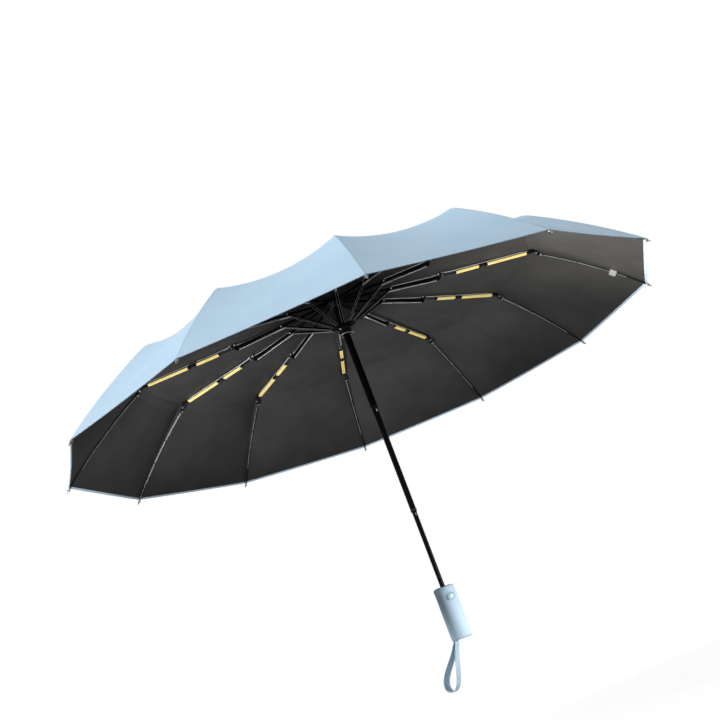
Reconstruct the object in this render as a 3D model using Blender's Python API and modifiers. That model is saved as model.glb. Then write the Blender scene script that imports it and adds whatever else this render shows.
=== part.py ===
"""Folding umbrella with twelve three-part ribs, open, as separate working pieces.

Metres, +Z up. The origin lies on the shaft's axis at the middle of the grip.
Arm number 1 points along +X and the others follow every 30 degrees.
"""
import math

import bmesh
import bpy
from mathutils import Matrix, Vector

# Counts and facet numbers
ARM_COUNT = 12
TUBE_STEPS = 20
HUB_STEPS = 36
GRIP_STEPS = 32
PIN_SIDES = 6
GORE_COLUMNS = 4
ROOF_ROWS = 4
SKIRT_ROWS = 6
WIRE_POINTS = 8

# Shared small sizes
GAP = 0.0003
OVERRUN = 0.002
WELD = 0.000001

# Open outline, measured from the axis and from the middle of the grip
HINGE_CIRCLE = 0.0115
ELBOW_1_RADIUS = 0.186
ELBOW_2_RADIUS = 0.3605
OPEN_RADIUS = 0.520
STRETCHER_RADIUS = 0.1005
CROWN_PIVOT_HEIGHT = 0.5567
RUNNER_PIVOT_HEIGHT = 0.5084
TIP_HEIGHT = 0.400
INNER_SLOPE_DEG = 6.45
MIDDLE_SLOPE_DEG = 4.26
OUTER_HALF_TURN_DEG = 6.5

# Hinge pins and eyes of the ribs
PIN_RADIUS = 0.0006
PIN_CLEARANCE = 0.0003
PIN_SEAT = 0.0005
SIDE_CLEARANCE = 0.0003
EYE_RADIUS = 0.0020

# Inner rib: a channel that opens downwards, with a post at the outer end
RIB_WIDTH = 0.0026
RIB_HEIGHT = 0.0040
RIB_WALL = 0.0005
RIB_ROOF = 0.0008
CHANNEL_END = 0.0060
POST_HEIGHT = 0.0055
POST_HALF = 0.0022
LINK_PIN_AHEAD = 0.0070
LINK_PIN_DROP = 0.0004
LINK_WIDTH = 0.0012
LINK_HALF = 0.0007
LINK_DROP = 0.0044
HEEL_LENGTH = 0.0040

# Stretcher: a fork of two flat strips on either side of the inner rib
STRIP_THICKNESS = 0.0007
STRIP_HEIGHT = 0.0035
TONGUE_LENGTH = 0.0033
FORK_ROOT = 0.0065

# Middle rib: knuckle, neck, two sprung bars with a clip between, end lug
CHEEK_THICKNESS = 0.0008
KNUCKLE_RADIUS = 0.0022
KNUCKLE_LENGTH = 0.0100
KNUCKLE_MOUTH = 0.0029
MIDDLE_DROP = 0.0050
BAR_HEIGHT = 0.0030
BAR_WIDTH = 0.0056
BAR_GROOVE = 0.0012
BAR_GROOVE_DEPTH = 0.0018
NECK_WIDTH = 0.0030
NECK_HEIGHT = 0.0020
BAR_START = 0.0280
BAR_END_BACK = 0.0130
CLIP_START = 0.0725
CLIP_LENGTH = 0.0130
CLIP_WIDTH = 0.0066
CLIP_HEIGHT = 0.0040
LUG_DROP = 0.0042
LUG_RADIUS = 0.0020
LUG_LENGTH = 0.0050

# Outer rib: fork, sprung wire, tip bead and pin
FORK_HALF_HEIGHT = 0.0016
FORK_LENGTH = 0.0110
FORK_MOUTH = 0.0040
WIRE_RADIUS = 0.0013
WIRE_START_SHARE = 0.035
BEAD_RADIUS = 0.0024
TIP_PIN_RADIUS = 0.0010
TIP_PIN_LENGTH = 0.0056

# Telescopic shaft: the lower end of each tube and the length kept in the next
TOP_TUBE_RADIUS = 0.0060
TUBE_WALL = 0.0007
TUBE_RUN_GAP = 0.0003
TOP_TUBE_FOOT = 0.356
MIDDLE_TUBE_FOOT = 0.171
TUBE_OVERLAP = 0.025
NECKING_LENGTH = 0.0015

# Crown hub and the cap above the cloth
CROWN_RADIUS = 0.0145
CROWN_SKIRT = 0.0062
CROWN_ROOF = 0.0033
CROWN_FLOOR_RADIUS = 0.0112
SLOT_ROOT_RADIUS = 0.0083
SLOT_ROOF_CLEARANCE = 0.0004
STUD_RADIUS = 0.0035
STUD_HEIGHT = 0.0085
CAP_RADIUS = 0.0150
CAP_RISE = 0.0065
CAP_LIP = 0.0012
FINIAL_RADIUS = 0.0030
FINIAL_RISE = 0.0060

# Runner that slides on the top tube
RUNNER_RADIUS = 0.0140
RUNNER_RIM = 0.0020
RUNNER_RING_DEPTH = 0.0045
RUNNER_WAIST_RADIUS = 0.0095
RUNNER_FLANGE_RADIUS = 0.0118
RUNNER_FLANGE_HEIGHT = 0.0024
RUNNER_DROP = 0.0130

# Grip, socket insert and the automatic button
HANDLE_RADIUS = 0.0170
HANDLE_LENGTH = 0.0845
HANDLE_FILLET = 0.0016
FILLET_STEPS = 3
SOCKET_RADIUS = 0.0085
SOCKET_DEPTH = 0.0140
SOCKET_LIP = 0.0020
BUTTON_RADIUS = 0.0055
BUTTON_AZIMUTH_DEG = -68.0
BUTTON_DROP = 0.0180
BUTTON_PROUD = 0.0010
BUTTON_TRAVEL = 0.0025
BUTTON_DOME = 0.0008
BUTTON_FLANGE = 0.0030

# Wrist strap on a pin in the grip's base
STRAP_ANCHOR_RADIUS = 0.0095
STRAP_ANCHOR_DEG = 180.0
STRAP_TOWARDS_DEG = 139.6
STRAP_TILT_DEG = 32.0
STRAP_WIDTH = 0.0120
STRAP_THICKNESS = 0.0012
STRAP_LENGTH = 0.0840
STRAP_SPREAD = 0.0255
STRAP_STEM = 0.0080
STRAP_LEG_GAP = 0.0005
STRAP_HEM = 0.0001
STRAP_BULGE_SHARE = 1.25
STRAP_FULLNESS_SHARE = 0.8
STRAP_POINTS = 18
STRAP_PIN_RADIUS = 0.0008
STRAP_PIN_DEPTH = 0.0008
POCKET_HALF = 0.0036
POCKET_DEPTH = 0.0040

# Canopy cloth and the band that keeps the closed umbrella rolled up
CLOTH_THICKNESS = 0.0006
CLOTH_CLEARANCE = 0.0008
PULL_WIRE_ROOM = 0.0042
CLOTH_HOLE = 0.0040
CORNER_SHARE = 0.985
CLOTH_HALF_TURN_DEG = 5.0
ROOF_SAG = 0.0035
SHOULDER_SAG = 0.0140
RIM_SAG = 0.0015
SLOPE_SHARE = 0.01
CLOTH_CREASE_DEG = 60.0
BAND_RADIUS = 0.0250
BAND_WIDTH = 0.0200
BAND_THICKNESS = 0.0012
BAND_STEPS = 20
BAND_ARM = 4
BAND_ROW_SHARE = 0.52
BAND_COLUMN_SHARE = 0.055
BAND_LEAN_SHARE = 0.05
BAND_CLEARANCE = 0.0008


def clear_scene():
    for old in list(bpy.data.objects):
        bpy.data.objects.remove(old, do_unlink=True)


clear_scene()
PARTS = bpy.data.collections.new("umbrella")
CUTTERS = bpy.data.collections.new("cutters")
bpy.context.scene.collection.children.link(PARTS)
bpy.context.scene.collection.children.link(CUTTERS)


# Materials
def linear(channel):
    return channel / 12.92 if channel <= 0.04045 else ((channel + 0.055) / 1.055) ** 2.4


def material(name, hex_colour, roughness, metallic=0.0):
    made = bpy.data.materials.new(name)
    made.use_nodes = True
    shader = made.node_tree.nodes["Principled BSDF"]
    channels = [int(hex_colour[i:i + 2], 16) / 255 for i in (0, 2, 4)]
    shader.inputs["Base Color"].default_value = [linear(c) for c in channels] + [1.0]
    shader.inputs["Roughness"].default_value = roughness
    shader.inputs["Metallic"].default_value = metallic
    return made


BLACK_STEEL = material("black_lacquered_steel", "17181A", 0.35, 0.6)
BLACK_PLASTIC = material("black_plastic", "1B1C1E", 0.45)
YELLOW_SPRING = material("yellow_glass_fibre", "F4C21C", 0.40)
DARK_WIRE = material("dark_sprung_wire", "55585C", 0.35, 0.7)
BLUE_PLASTIC = material("light_blue_plastic", "A9C4DA", 0.38)
BLUE_GLOSS = material("light_blue_gloss_plastic", "B7D3E8", 0.15)
BLUE_WEBBING = material("light_blue_webbing", "93AEC2", 0.80)
BLUE_CLOTH = material("light_blue_cloth", "B4D0E6", 0.75)


# Building tools
def add_object(name, mesh, collection=PARTS):
    made = bpy.data.objects.new(name, mesh)
    collection.objects.link(made)
    return made


def as_tool(tool):
    """Moves a helper shape to the cutters, where it shows as wire and isn't rendered."""
    for home in list(tool.users_collection):
        home.objects.unlink(tool)
    CUTTERS.objects.link(tool)
    tool.hide_render = True
    tool.display_type = "WIRE"
    return tool


def boolean(target, tool, operation):
    modifier = target.modifiers.new(operation.title(), "BOOLEAN")
    modifier.operation = operation
    modifier.solver = "EXACT"
    modifier.object = as_tool(tool)
    return target


def baked(target):
    """The evaluated mesh of an object, whose helpers are then removed."""
    bpy.context.view_layer.update()
    graph = bpy.context.evaluated_depsgraph_get()
    mesh = bpy.data.meshes.new_from_object(target.evaluated_get(graph))
    shape = bmesh.new()
    shape.from_mesh(mesh)
    bmesh.ops.remove_doubles(shape, verts=shape.verts, dist=WELD)
    shape.to_mesh(mesh)
    shape.free()
    tools = [m.object for m in target.modifiers if m.type == "BOOLEAN"]
    for spent in tools + [target]:
        bpy.data.objects.remove(spent, do_unlink=True)
    return mesh


def finish(target, finish_material, sharp_deg=35.0):
    target.data.materials.clear()
    target.data.materials.append(finish_material)
    target.data.shade_smooth()
    target.data.set_sharp_from_angle(angle=math.radians(sharp_deg))
    return target


def arc(centre, radius, start_deg, end_deg, steps):
    turn = math.radians(end_deg - start_deg)
    start = math.radians(start_deg)
    angles = [start + turn * i / steps for i in range(steps + 1)]
    return [(centre[0] + radius * math.cos(a), centre[1] + radius * math.sin(a)) for a in angles]


def circle(centre, radius, sides=PIN_SIDES):
    return arc(centre, radius, 0, 360, sides)[:-1]


def turned(name, profile, steps):
    """Spins a profile of (radius, height) pairs, outer side downwards, about Z."""
    mesh = bpy.data.meshes.new(name)
    points = [(radius, 0, height) for radius, height in profile]
    edges = [(i, i + 1) for i in range(len(points) - 1)]
    if profile[0][0] > 0 or profile[-1][0] > 0:
        edges.append((len(points) - 1, 0))
    mesh.from_pydata(points, edges, [])
    made = add_object(name, mesh)
    spin = made.modifiers.new("Turn", "SCREW")
    spin.steps = steps
    spin.render_steps = steps
    spin.use_merge_vertices = True
    spin.merge_threshold = WELD
    return made


def plate(name, loops, thickness):
    """Side-view outline in the arm's plane, filled, with holes, and given a thickness."""
    curve = bpy.data.curves.new(name, "CURVE")
    curve.dimensions = "2D"
    curve.fill_mode = "BOTH"
    curve.extrude = thickness / 2
    for loop in loops:
        spline = curve.splines.new("POLY")
        spline.points.add(len(loop) - 1)
        for point, (along, up) in zip(spline.points, loop):
            point.co = (along, up, 0, 1)
        spline.use_cyclic_u = True
    mesh = baked(add_object(name, curve))
    mesh.transform(Matrix.Rotation(math.pi / 2, 4, "X"))
    return add_object(name, mesh)


def box(name, low, high):
    """Box between two corners."""
    shape = bmesh.new()
    size = Vector(high) - Vector(low)
    middle = (Vector(high) + Vector(low)) / 2
    place = Matrix.Translation(middle) @ Matrix.Diagonal((*size, 1))
    bmesh.ops.create_cube(shape, size=1, matrix=place)
    mesh = bpy.data.meshes.new(name)
    shape.to_mesh(mesh)
    shape.free()
    return add_object(name, mesh)


def rod(name, radius, length, place, sides, end_radius=None):
    """Cylinder or cone along its own Z, centred, then placed by a matrix."""
    shape = bmesh.new()
    tip = radius if end_radius is None else end_radius
    bmesh.ops.create_cone(shape, cap_ends=True, segments=sides, radius1=radius,
                          radius2=tip, depth=length, matrix=place)
    mesh = bpy.data.meshes.new(name)
    shape.to_mesh(mesh)
    shape.free()
    return add_object(name, mesh)


def cross_pin(name, along, up, length, radius=PIN_RADIUS, sides=PIN_SIDES):
    """Hinge pin across the arm's plane."""
    place = Matrix.Translation((along, 0, up)) @ Matrix.Rotation(math.pi / 2, 4, "X")
    return rod(name, radius, length, place, sides)


def around_axis(name, source, count=ARM_COUNT):
    """One mesh of evenly turned copies of a helper shape, which is used up."""
    shape = bmesh.new()
    for i in range(count):
        turned_mesh = source.data.copy()
        turned_mesh.transform(Matrix.Rotation(2 * math.pi * i / count, 4, "Z"))
        shape.from_mesh(turned_mesh)
        bpy.data.meshes.remove(turned_mesh)
    mesh = bpy.data.meshes.new(name)
    shape.to_mesh(mesh)
    shape.free()
    bpy.data.objects.remove(source, do_unlink=True)
    return add_object(name, mesh)


# Geometry of one arm in its own plane: radius from the axis, and height
def direction(slope_deg):
    slope = math.radians(slope_deg)
    return Vector((math.cos(slope), -math.sin(slope)))


def upward(slope_deg):
    slope = math.radians(slope_deg)
    return Vector((math.sin(slope), math.cos(slope)))


INNER_DIR = direction(INNER_SLOPE_DEG)
INNER_UP = upward(INNER_SLOPE_DEG)
MIDDLE_DIR = direction(MIDDLE_SLOPE_DEG)
MIDDLE_UP = upward(MIDDLE_SLOPE_DEG)
CROWN_PIVOT = Vector((HINGE_CIRCLE, CROWN_PIVOT_HEIGHT))
RUNNER_PIVOT = Vector((HINGE_CIRCLE, RUNNER_PIVOT_HEIGHT))
INNER_LENGTH = (ELBOW_1_RADIUS - HINGE_CIRCLE - POST_HEIGHT * INNER_UP.x) / INNER_DIR.x
ELBOW_1 = CROWN_PIVOT + INNER_DIR * INNER_LENGTH + INNER_UP * POST_HEIGHT
LUG_OFFSET = MIDDLE_DROP + LUG_DROP
MIDDLE_LENGTH = (ELBOW_2_RADIUS - ELBOW_1.x + LUG_OFFSET * MIDDLE_UP.x) / MIDDLE_DIR.x
ELBOW_2 = ELBOW_1 + MIDDLE_DIR * MIDDLE_LENGTH - MIDDLE_UP * LUG_OFFSET
TIP = Vector((OPEN_RADIUS, TIP_HEIGHT))
OUTER_CHORD = (TIP - ELBOW_2).length
OUTER_SLOPE_DEG = math.degrees(math.atan2(ELBOW_2.y - TIP.y, TIP.x - ELBOW_2.x))
STRETCHER_SEAT = CROWN_PIVOT + INNER_DIR * ((STRETCHER_RADIUS - HINGE_CIRCLE) / INNER_DIR.x)
STRETCHER_LENGTH = (STRETCHER_SEAT - RUNNER_PIVOT).length
STRETCHER_RISE_DEG = math.degrees(math.atan2(STRETCHER_SEAT.y - RUNNER_PIVOT.y,
                                             STRETCHER_SEAT.x - RUNNER_PIVOT.x))

# Sizes that follow from the ones above
EYE_HOLE = PIN_RADIUS + PIN_CLEARANCE
SLOT_HALF = RIB_WIDTH / 2 + SIDE_CLEARANCE
FORK_WIDTH = 2 * (SLOT_HALF + STRIP_THICKNESS)
KNUCKLE_WIDTH = 2 * (SLOT_HALF + CHEEK_THICKNESS)
PIN_LENGTH = 2 * (SLOT_HALF + PIN_SEAT)
MIDDLE_TUBE_RADIUS = TOP_TUBE_RADIUS - TUBE_WALL - TUBE_RUN_GAP
BOTTOM_TUBE_RADIUS = MIDDLE_TUBE_RADIUS - TUBE_WALL - TUBE_RUN_GAP
CROWN_TOP = CROWN_PIVOT_HEIGHT + CROWN_ROOF
HANDLE_TOP = HANDLE_LENGTH / 2
CLOTH_SEAT = CROWN_TOP + GAP


# The four pieces of an arm, each modelled from its own hinge
def inner_rib_mesh():
    half = RIB_HEIGHT / 2
    post = (INNER_LENGTH, POST_HEIGHT)
    outline = arc((0, 0), EYE_RADIUS, 90, 270, 6)
    outline += [(INNER_LENGTH + POST_HALF, -half)]
    outline += arc(post, POST_HALF, 0, 180, 6)
    outline += [(INNER_LENGTH - POST_HALF, half)]
    rib = plate("inner_rib_shape", [outline, circle((0, 0), EYE_HOLE), circle(post, EYE_HOLE)], RIB_WIDTH)
    inside = RIB_WIDTH / 2 - RIB_WALL
    channel = box("rib_channel", (CHANNEL_END, -inside, -half - OVERRUN),
                  (INNER_LENGTH - CHANNEL_END, inside, half - RIB_ROOF))
    boolean(rib, channel, "DIFFERENCE")

    seat_along = (STRETCHER_SEAT - CROWN_PIVOT).length + LINK_PIN_AHEAD
    seat = (seat_along, -LINK_PIN_DROP)
    heel_foot = -LINK_DROP - LINK_HALF
    heel_outline = [(INNER_LENGTH - HEEL_LENGTH, 0), (INNER_LENGTH - HEEL_LENGTH, heel_foot)]
    heel_outline += [(INNER_LENGTH, heel_foot), (INNER_LENGTH + POST_HALF / 2, 0)]
    link_outline = arc(seat, LINK_HALF, 90, 270, 4)
    link_outline += [(INNER_LENGTH - HEEL_LENGTH / 2, heel_foot + GAP)]
    link_outline += [(INNER_LENGTH - HEEL_LENGTH / 2, heel_foot + GAP + 2 * LINK_HALF)]
    boolean(rib, cross_pin("link_pin", *seat, RIB_WIDTH - GAP), "UNION")
    boolean(rib, plate("rib_heel", [heel_outline], RIB_WIDTH - GAP), "UNION")
    boolean(rib, plate("spring_link", [link_outline], LINK_WIDTH), "UNION")
    return baked(rib)


def stretcher_mesh():
    half = STRIP_HEIGHT / 2
    outline = arc((0, 0), EYE_RADIUS, 60, 300, 6)
    outline += [(TONGUE_LENGTH, -half)]
    outline += arc((STRETCHER_LENGTH, 0), half, -90, 90, 4)
    outline += [(TONGUE_LENGTH, half)]
    fork = plate("stretcher_shape", [outline, circle((0, 0), EYE_HOLE)], FORK_WIDTH)
    reach = STRETCHER_LENGTH + STRIP_HEIGHT
    boolean(fork, box("fork_gap", (FORK_ROOT, -SLOT_HALF, -STRIP_HEIGHT), (reach, SLOT_HALF, STRIP_HEIGHT)),
            "DIFFERENCE")
    for side in (-1, 1):
        walls = sorted((side * RIB_WIDTH / 2, side * FORK_WIDTH))
        cheek = box("tongue_side", (-EYE_RADIUS - OVERRUN, walls[0], -STRIP_HEIGHT),
                    (TONGUE_LENGTH, walls[1], STRIP_HEIGHT))
        boolean(fork, cheek, "DIFFERENCE")
    return baked(fork)


def middle_bar(name, start, end, width, height):
    low = -MIDDLE_DROP - height / 2
    return box(name, (start, -width / 2, low), (end, width / 2, low + height))


def middle_rib_mesh():
    under = -MIDDLE_DROP - BAR_HEIGHT / 2
    neck_top = -MIDDLE_DROP + NECK_HEIGHT / 2
    outline = arc((0, 0), KNUCKLE_RADIUS, 90, 225, 4)
    outline += [(KNUCKLE_RADIUS / 2, under), (KNUCKLE_LENGTH, under)]
    outline += [(KNUCKLE_LENGTH, neck_top + GAP), (KNUCKLE_MOUTH + KNUCKLE_RADIUS, KNUCKLE_RADIUS)]
    rib = plate("middle_rib_shape", [outline], KNUCKLE_WIDTH)
    mouth = box("knuckle_mouth", (-KNUCKLE_RADIUS - OVERRUN, -SLOT_HALF, under - OVERRUN),
                (KNUCKLE_MOUTH, SLOT_HALF, KNUCKLE_RADIUS + OVERRUN))
    boolean(rib, mouth, "DIFFERENCE")
    boolean(rib, cross_pin("elbow_1_pin", 0, 0, PIN_LENGTH), "UNION")

    bar_end = MIDDLE_LENGTH - BAR_END_BACK
    boolean(rib, middle_bar("neck", KNUCKLE_LENGTH - OVERRUN / 2, BAR_START + OVERRUN / 2, NECK_WIDTH, NECK_HEIGHT),
            "UNION")
    bars = middle_bar("spring_bars", BAR_START, bar_end, BAR_WIDTH, BAR_HEIGHT)
    groove = box("bar_groove", (BAR_START - OVERRUN, -BAR_GROOVE / 2, under - OVERRUN),
                 (bar_end + OVERRUN, BAR_GROOVE / 2, under + BAR_GROOVE_DEPTH))
    boolean(bars, groove, "DIFFERENCE")
    grooved = add_object("grooved_bars", baked(bars))
    boolean(rib, grooved, "UNION")
    clip = middle_bar("clip", CLIP_START, CLIP_START + CLIP_LENGTH, CLIP_WIDTH, CLIP_HEIGHT)
    boolean(rib, clip, "UNION")

    pivot = (MIDDLE_LENGTH, -LUG_OFFSET)
    top = under + BAR_HEIGHT - GAP
    lug_foot = under + GAP
    lug_outline = [(bar_end - OVERRUN / 2, top), (bar_end - OVERRUN / 2, lug_foot)]
    lug_outline += [(MIDDLE_LENGTH - LUG_LENGTH, lug_foot)]
    lug_outline += arc(pivot, LUG_RADIUS, 180, 360, 6)
    lug_outline += [(MIDDLE_LENGTH + LUG_RADIUS, top)]
    lug = plate("end_lug", [lug_outline, circle(pivot, EYE_HOLE)], RIB_WIDTH)
    boolean(rib, lug, "UNION")
    return baked(rib)


def outer_arc(share):
    """Point and slope of the outer rib's wire, in its own frame, from elbow (0) to tip (1)."""
    half_turn = math.radians(OUTER_HALF_TURN_DEG)
    radius = OUTER_CHORD / (2 * math.sin(half_turn))
    angle = half_turn * (2 * share - 1)
    along = OUTER_CHORD / 2 + radius * math.sin(angle)
    up = radius * (math.cos(angle) - math.cos(half_turn))
    return Vector((along, up)), angle


def outer_rib_mesh():
    lean = math.radians(OUTER_HALF_TURN_DEG)
    outline = arc((0, 0), LUG_RADIUS, 90, 270, 6)
    outline += [(FORK_LENGTH, -FORK_HALF_HEIGHT), (FORK_LENGTH, FORK_HALF_HEIGHT)]
    rib = plate("outer_rib_shape", [outline], FORK_WIDTH)
    mouth = box("outer_mouth", (-LUG_RADIUS - OVERRUN, -SLOT_HALF, -LUG_RADIUS - OVERRUN),
                (FORK_MOUTH, SLOT_HALF, LUG_RADIUS + OVERRUN))
    boolean(rib, mouth, "DIFFERENCE")
    boolean(rib, cross_pin("elbow_2_pin", 0, 0, PIN_LENGTH), "UNION")
    rib = add_object("outer_rib_fork", baked(rib))
    rib.data.transform(Matrix.Rotation(-lean, 4, "Y"))

    curve = bpy.data.curves.new("wire", "CURVE")
    curve.dimensions = "3D"
    curve.bevel_depth = WIRE_RADIUS
    curve.bevel_resolution = 1
    curve.use_fill_caps = True
    spline = curve.splines.new("POLY")
    spline.points.add(WIRE_POINTS - 1)
    for i, point in enumerate(spline.points):
        share = WIRE_START_SHARE + (1 - WIRE_START_SHARE) * i / (WIRE_POINTS - 1)
        place, _ = outer_arc(share)
        point.co = (place.x, 0, place.y, 1)
    wire = add_object("outer_wire", baked(add_object("wire", curve)))
    boolean(rib, wire, "UNION")

    tip, angle = outer_arc(1)
    outward = Matrix.Rotation(math.pi / 2 + angle, 4, "Y")
    at_tip = Matrix.Translation((tip.x, 0, tip.y)) @ outward
    shape = bmesh.new()
    bmesh.ops.create_uvsphere(shape, u_segments=8, v_segments=5, radius=BEAD_RADIUS, matrix=at_tip)
    bead_mesh = bpy.data.meshes.new("bead")
    shape.to_mesh(bead_mesh)
    shape.free()
    boolean(rib, add_object("bead", bead_mesh), "UNION")
    along_pin = Matrix.Translation((0, 0, TIP_PIN_LENGTH / 2))
    boolean(rib, rod("tip_pin", TIP_PIN_RADIUS, TIP_PIN_LENGTH, at_tip @ along_pin, PIN_SIDES), "UNION")
    return baked(rib)


def build_arms():
    pieces = (
        ("inner_rib", inner_rib_mesh(), CROWN_PIVOT, INNER_SLOPE_DEG, BLACK_STEEL),
        ("stretcher", stretcher_mesh(), RUNNER_PIVOT, -STRETCHER_RISE_DEG, BLACK_STEEL),
        ("middle_rib", middle_rib_mesh(), ELBOW_1, MIDDLE_SLOPE_DEG, YELLOW_SPRING),
        ("outer_rib", outer_rib_mesh(), ELBOW_2, OUTER_SLOPE_DEG, DARK_WIRE),
    )
    for number in range(1, ARM_COUNT + 1):
        arm = add_object(f"arm_{number:02d}", None)
        arm.rotation_euler.z = 2 * math.pi * (number - 1) / ARM_COUNT
        for name, mesh, pivot, slope_deg, piece_material in pieces:
            piece = add_object(f"{name}_{number:02d}", mesh)
            piece.parent = arm
            piece.location = (pivot.x, 0, pivot.y)
            piece.rotation_euler.y = math.radians(slope_deg)
            finish(piece, piece_material)


# Shaft
def tube(name, radius, foot, head, finish_material):
    bore = radius - TUBE_WALL
    waist = radius - TUBE_WALL / 2
    profile = [(radius, head), (radius, foot + NECKING_LENGTH), (waist, foot), (bore, foot), (bore, head)]
    return finish(turned(name, profile, TUBE_STEPS), finish_material)


def build_shaft():
    tube("top_tube", TOP_TUBE_RADIUS, TOP_TUBE_FOOT, CROWN_PIVOT_HEIGHT, BLACK_STEEL)
    tube("middle_tube", MIDDLE_TUBE_RADIUS, MIDDLE_TUBE_FOOT, TOP_TUBE_FOOT + TUBE_OVERLAP, BLACK_STEEL)
    tube("bottom_tube", BOTTOM_TUBE_RADIUS, HANDLE_TOP - SOCKET_DEPTH + GAP + SOCKET_LIP,
         MIDDLE_TUBE_FOOT + TUBE_OVERLAP, BLACK_STEEL)


# Crown, cap and runner
def slots(name, low, high, outer):
    reach = outer + OVERRUN
    slot = box("slot", (SLOT_ROOT_RADIUS, -SLOT_HALF, low), (reach, SLOT_HALF, high))
    return around_axis(name, slot)


def hinge_pins(name, height):
    return around_axis(name, cross_pin("pin", HINGE_CIRCLE, height, PIN_LENGTH))


def build_crown():
    foot = CROWN_PIVOT_HEIGHT - CROWN_SKIRT
    bore = TOP_TUBE_RADIUS + GAP
    seat = CROWN_PIVOT_HEIGHT + GAP
    profile = [(0, CROWN_TOP + STUD_HEIGHT), (STUD_RADIUS, CROWN_TOP + STUD_HEIGHT)]
    profile += [(STUD_RADIUS, CROWN_TOP), (CROWN_RADIUS, CROWN_TOP)]
    profile += [(CROWN_RADIUS, CROWN_PIVOT_HEIGHT - EYE_RADIUS), (CROWN_FLOOR_RADIUS, foot)]
    profile += [(bore, foot), (bore, seat), (0, seat)]
    crown = turned("crown", profile, HUB_STEPS)
    roof = CROWN_PIVOT_HEIGHT + EYE_RADIUS + SLOT_ROOF_CLEARANCE
    boolean(crown, slots("crown_slots", foot - OVERRUN, roof, CROWN_RADIUS), "DIFFERENCE")
    boolean(crown, hinge_pins("crown_pins", CROWN_PIVOT_HEIGHT), "UNION")
    finish(crown, BLACK_PLASTIC)


def build_cap():
    seat = CLOTH_SEAT + CLOTH_THICKNESS + GAP
    hole = STUD_RADIUS + GAP
    ceiling = CROWN_TOP + STUD_HEIGHT + GAP
    neck = ceiling + CAP_LIP
    profile = [(0, neck + FINIAL_RISE), (FINIAL_RADIUS * 2 / 3, neck + FINIAL_RISE)]
    profile += [(FINIAL_RADIUS, neck + FINIAL_RISE * 2 / 3), (FINIAL_RADIUS, neck)]
    profile += [(STUD_RADIUS + CAP_LIP, neck), (CAP_RADIUS * 2 / 3, seat + CAP_RISE * 2 / 3)]
    profile += [(CAP_RADIUS, seat + CAP_LIP), (CAP_RADIUS, seat), (hole, seat), (hole, ceiling), (0, ceiling)]
    finish(turned("top_cap", profile, HUB_STEPS // 2), BLACK_PLASTIC)


def build_runner():
    bore = TOP_TUBE_RADIUS + GAP
    top = RUNNER_PIVOT_HEIGHT + RUNNER_RIM
    ring_foot = top - RUNNER_RIM - RUNNER_RING_DEPTH
    foot = RUNNER_PIVOT_HEIGHT - RUNNER_DROP
    flange = foot + RUNNER_FLANGE_HEIGHT
    profile = [(RUNNER_RADIUS, top), (RUNNER_RADIUS, ring_foot + RUNNER_RIM / 2)]
    profile += [(RUNNER_WAIST_RADIUS, ring_foot - RUNNER_RIM / 2), (RUNNER_WAIST_RADIUS, flange)]
    profile += [(RUNNER_FLANGE_RADIUS, flange), (RUNNER_FLANGE_RADIUS, foot), (bore, foot), (bore, top)]
    runner = turned("runner", profile, HUB_STEPS)
    floor = RUNNER_PIVOT_HEIGHT - EYE_RADIUS - SLOT_ROOF_CLEARANCE
    boolean(runner, slots("runner_slots", floor, top + OVERRUN, RUNNER_RADIUS), "DIFFERENCE")
    boolean(runner, hinge_pins("runner_pins", RUNNER_PIVOT_HEIGHT), "UNION")
    finish(runner, BLACK_PLASTIC)


# Grip
def strap_frame():
    """Place of the strap's pin, with the strap's own -Z along its hanging direction and Y along its pin."""
    around = math.radians(STRAP_ANCHOR_DEG)
    pin = Vector((STRAP_ANCHOR_RADIUS * math.cos(around), STRAP_ANCHOR_RADIUS * math.sin(around),
                  -HANDLE_TOP + STRAP_PIN_DEPTH))
    return Matrix.Translation(pin) @ Matrix.Rotation(math.radians(STRAP_TOWARDS_DEG), 4, "Z")


def build_handle():
    edge = HANDLE_RADIUS - HANDLE_FILLET
    shoulder = HANDLE_TOP - HANDLE_FILLET
    profile = arc((edge, shoulder), HANDLE_FILLET, 90, 0, FILLET_STEPS)
    profile += arc((edge, -shoulder), HANDLE_FILLET, 0, -90, FILLET_STEPS)
    profile += [(0, -HANDLE_TOP), (0, HANDLE_TOP - SOCKET_DEPTH)]
    profile += [(SOCKET_RADIUS, HANDLE_TOP - SOCKET_DEPTH), (SOCKET_RADIUS, HANDLE_TOP)]
    # The profile starts and ends at the grip's top: first move its two axis points to the ends
    axis_start = len(profile) - 3
    profile = profile[axis_start:] + profile[:axis_start]
    handle = turned("handle", profile, GRIP_STEPS)

    around = math.radians(BUTTON_AZIMUTH_DEG)
    floor = HANDLE_RADIUS - BUTTON_FLANGE - BUTTON_TRAVEL - GAP
    depth = HANDLE_RADIUS + OVERRUN - floor
    aim = Matrix.Rotation(around, 4, "Z") @ Matrix.Rotation(math.pi / 2, 4, "Y")
    rise = Matrix.Translation((0, 0, HANDLE_TOP - BUTTON_DROP))
    well_place = rise @ aim @ Matrix.Translation((0, 0, floor + depth / 2))
    boolean(handle, rod("button_well", BUTTON_RADIUS + GAP, depth, well_place, TUBE_STEPS), "DIFFERENCE")

    frame = strap_frame()
    reach = STRAP_WIDTH / 2 + GAP + SIDE_CLEARANCE
    pocket = box("strap_pocket", (-POCKET_HALF, -reach, -STRAP_PIN_DEPTH - OVERRUN),
                 (POCKET_HALF, reach, POCKET_DEPTH - STRAP_PIN_DEPTH))
    pocket.matrix_world = frame
    boolean(handle, pocket, "DIFFERENCE")
    pin = cross_pin("strap_pin", 0, 0, 2 * (reach + PIN_SEAT), STRAP_PIN_RADIUS, 8)
    pin.matrix_world = frame
    boolean(handle, pin, "UNION")
    finish(handle, BLUE_PLASTIC)


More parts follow.
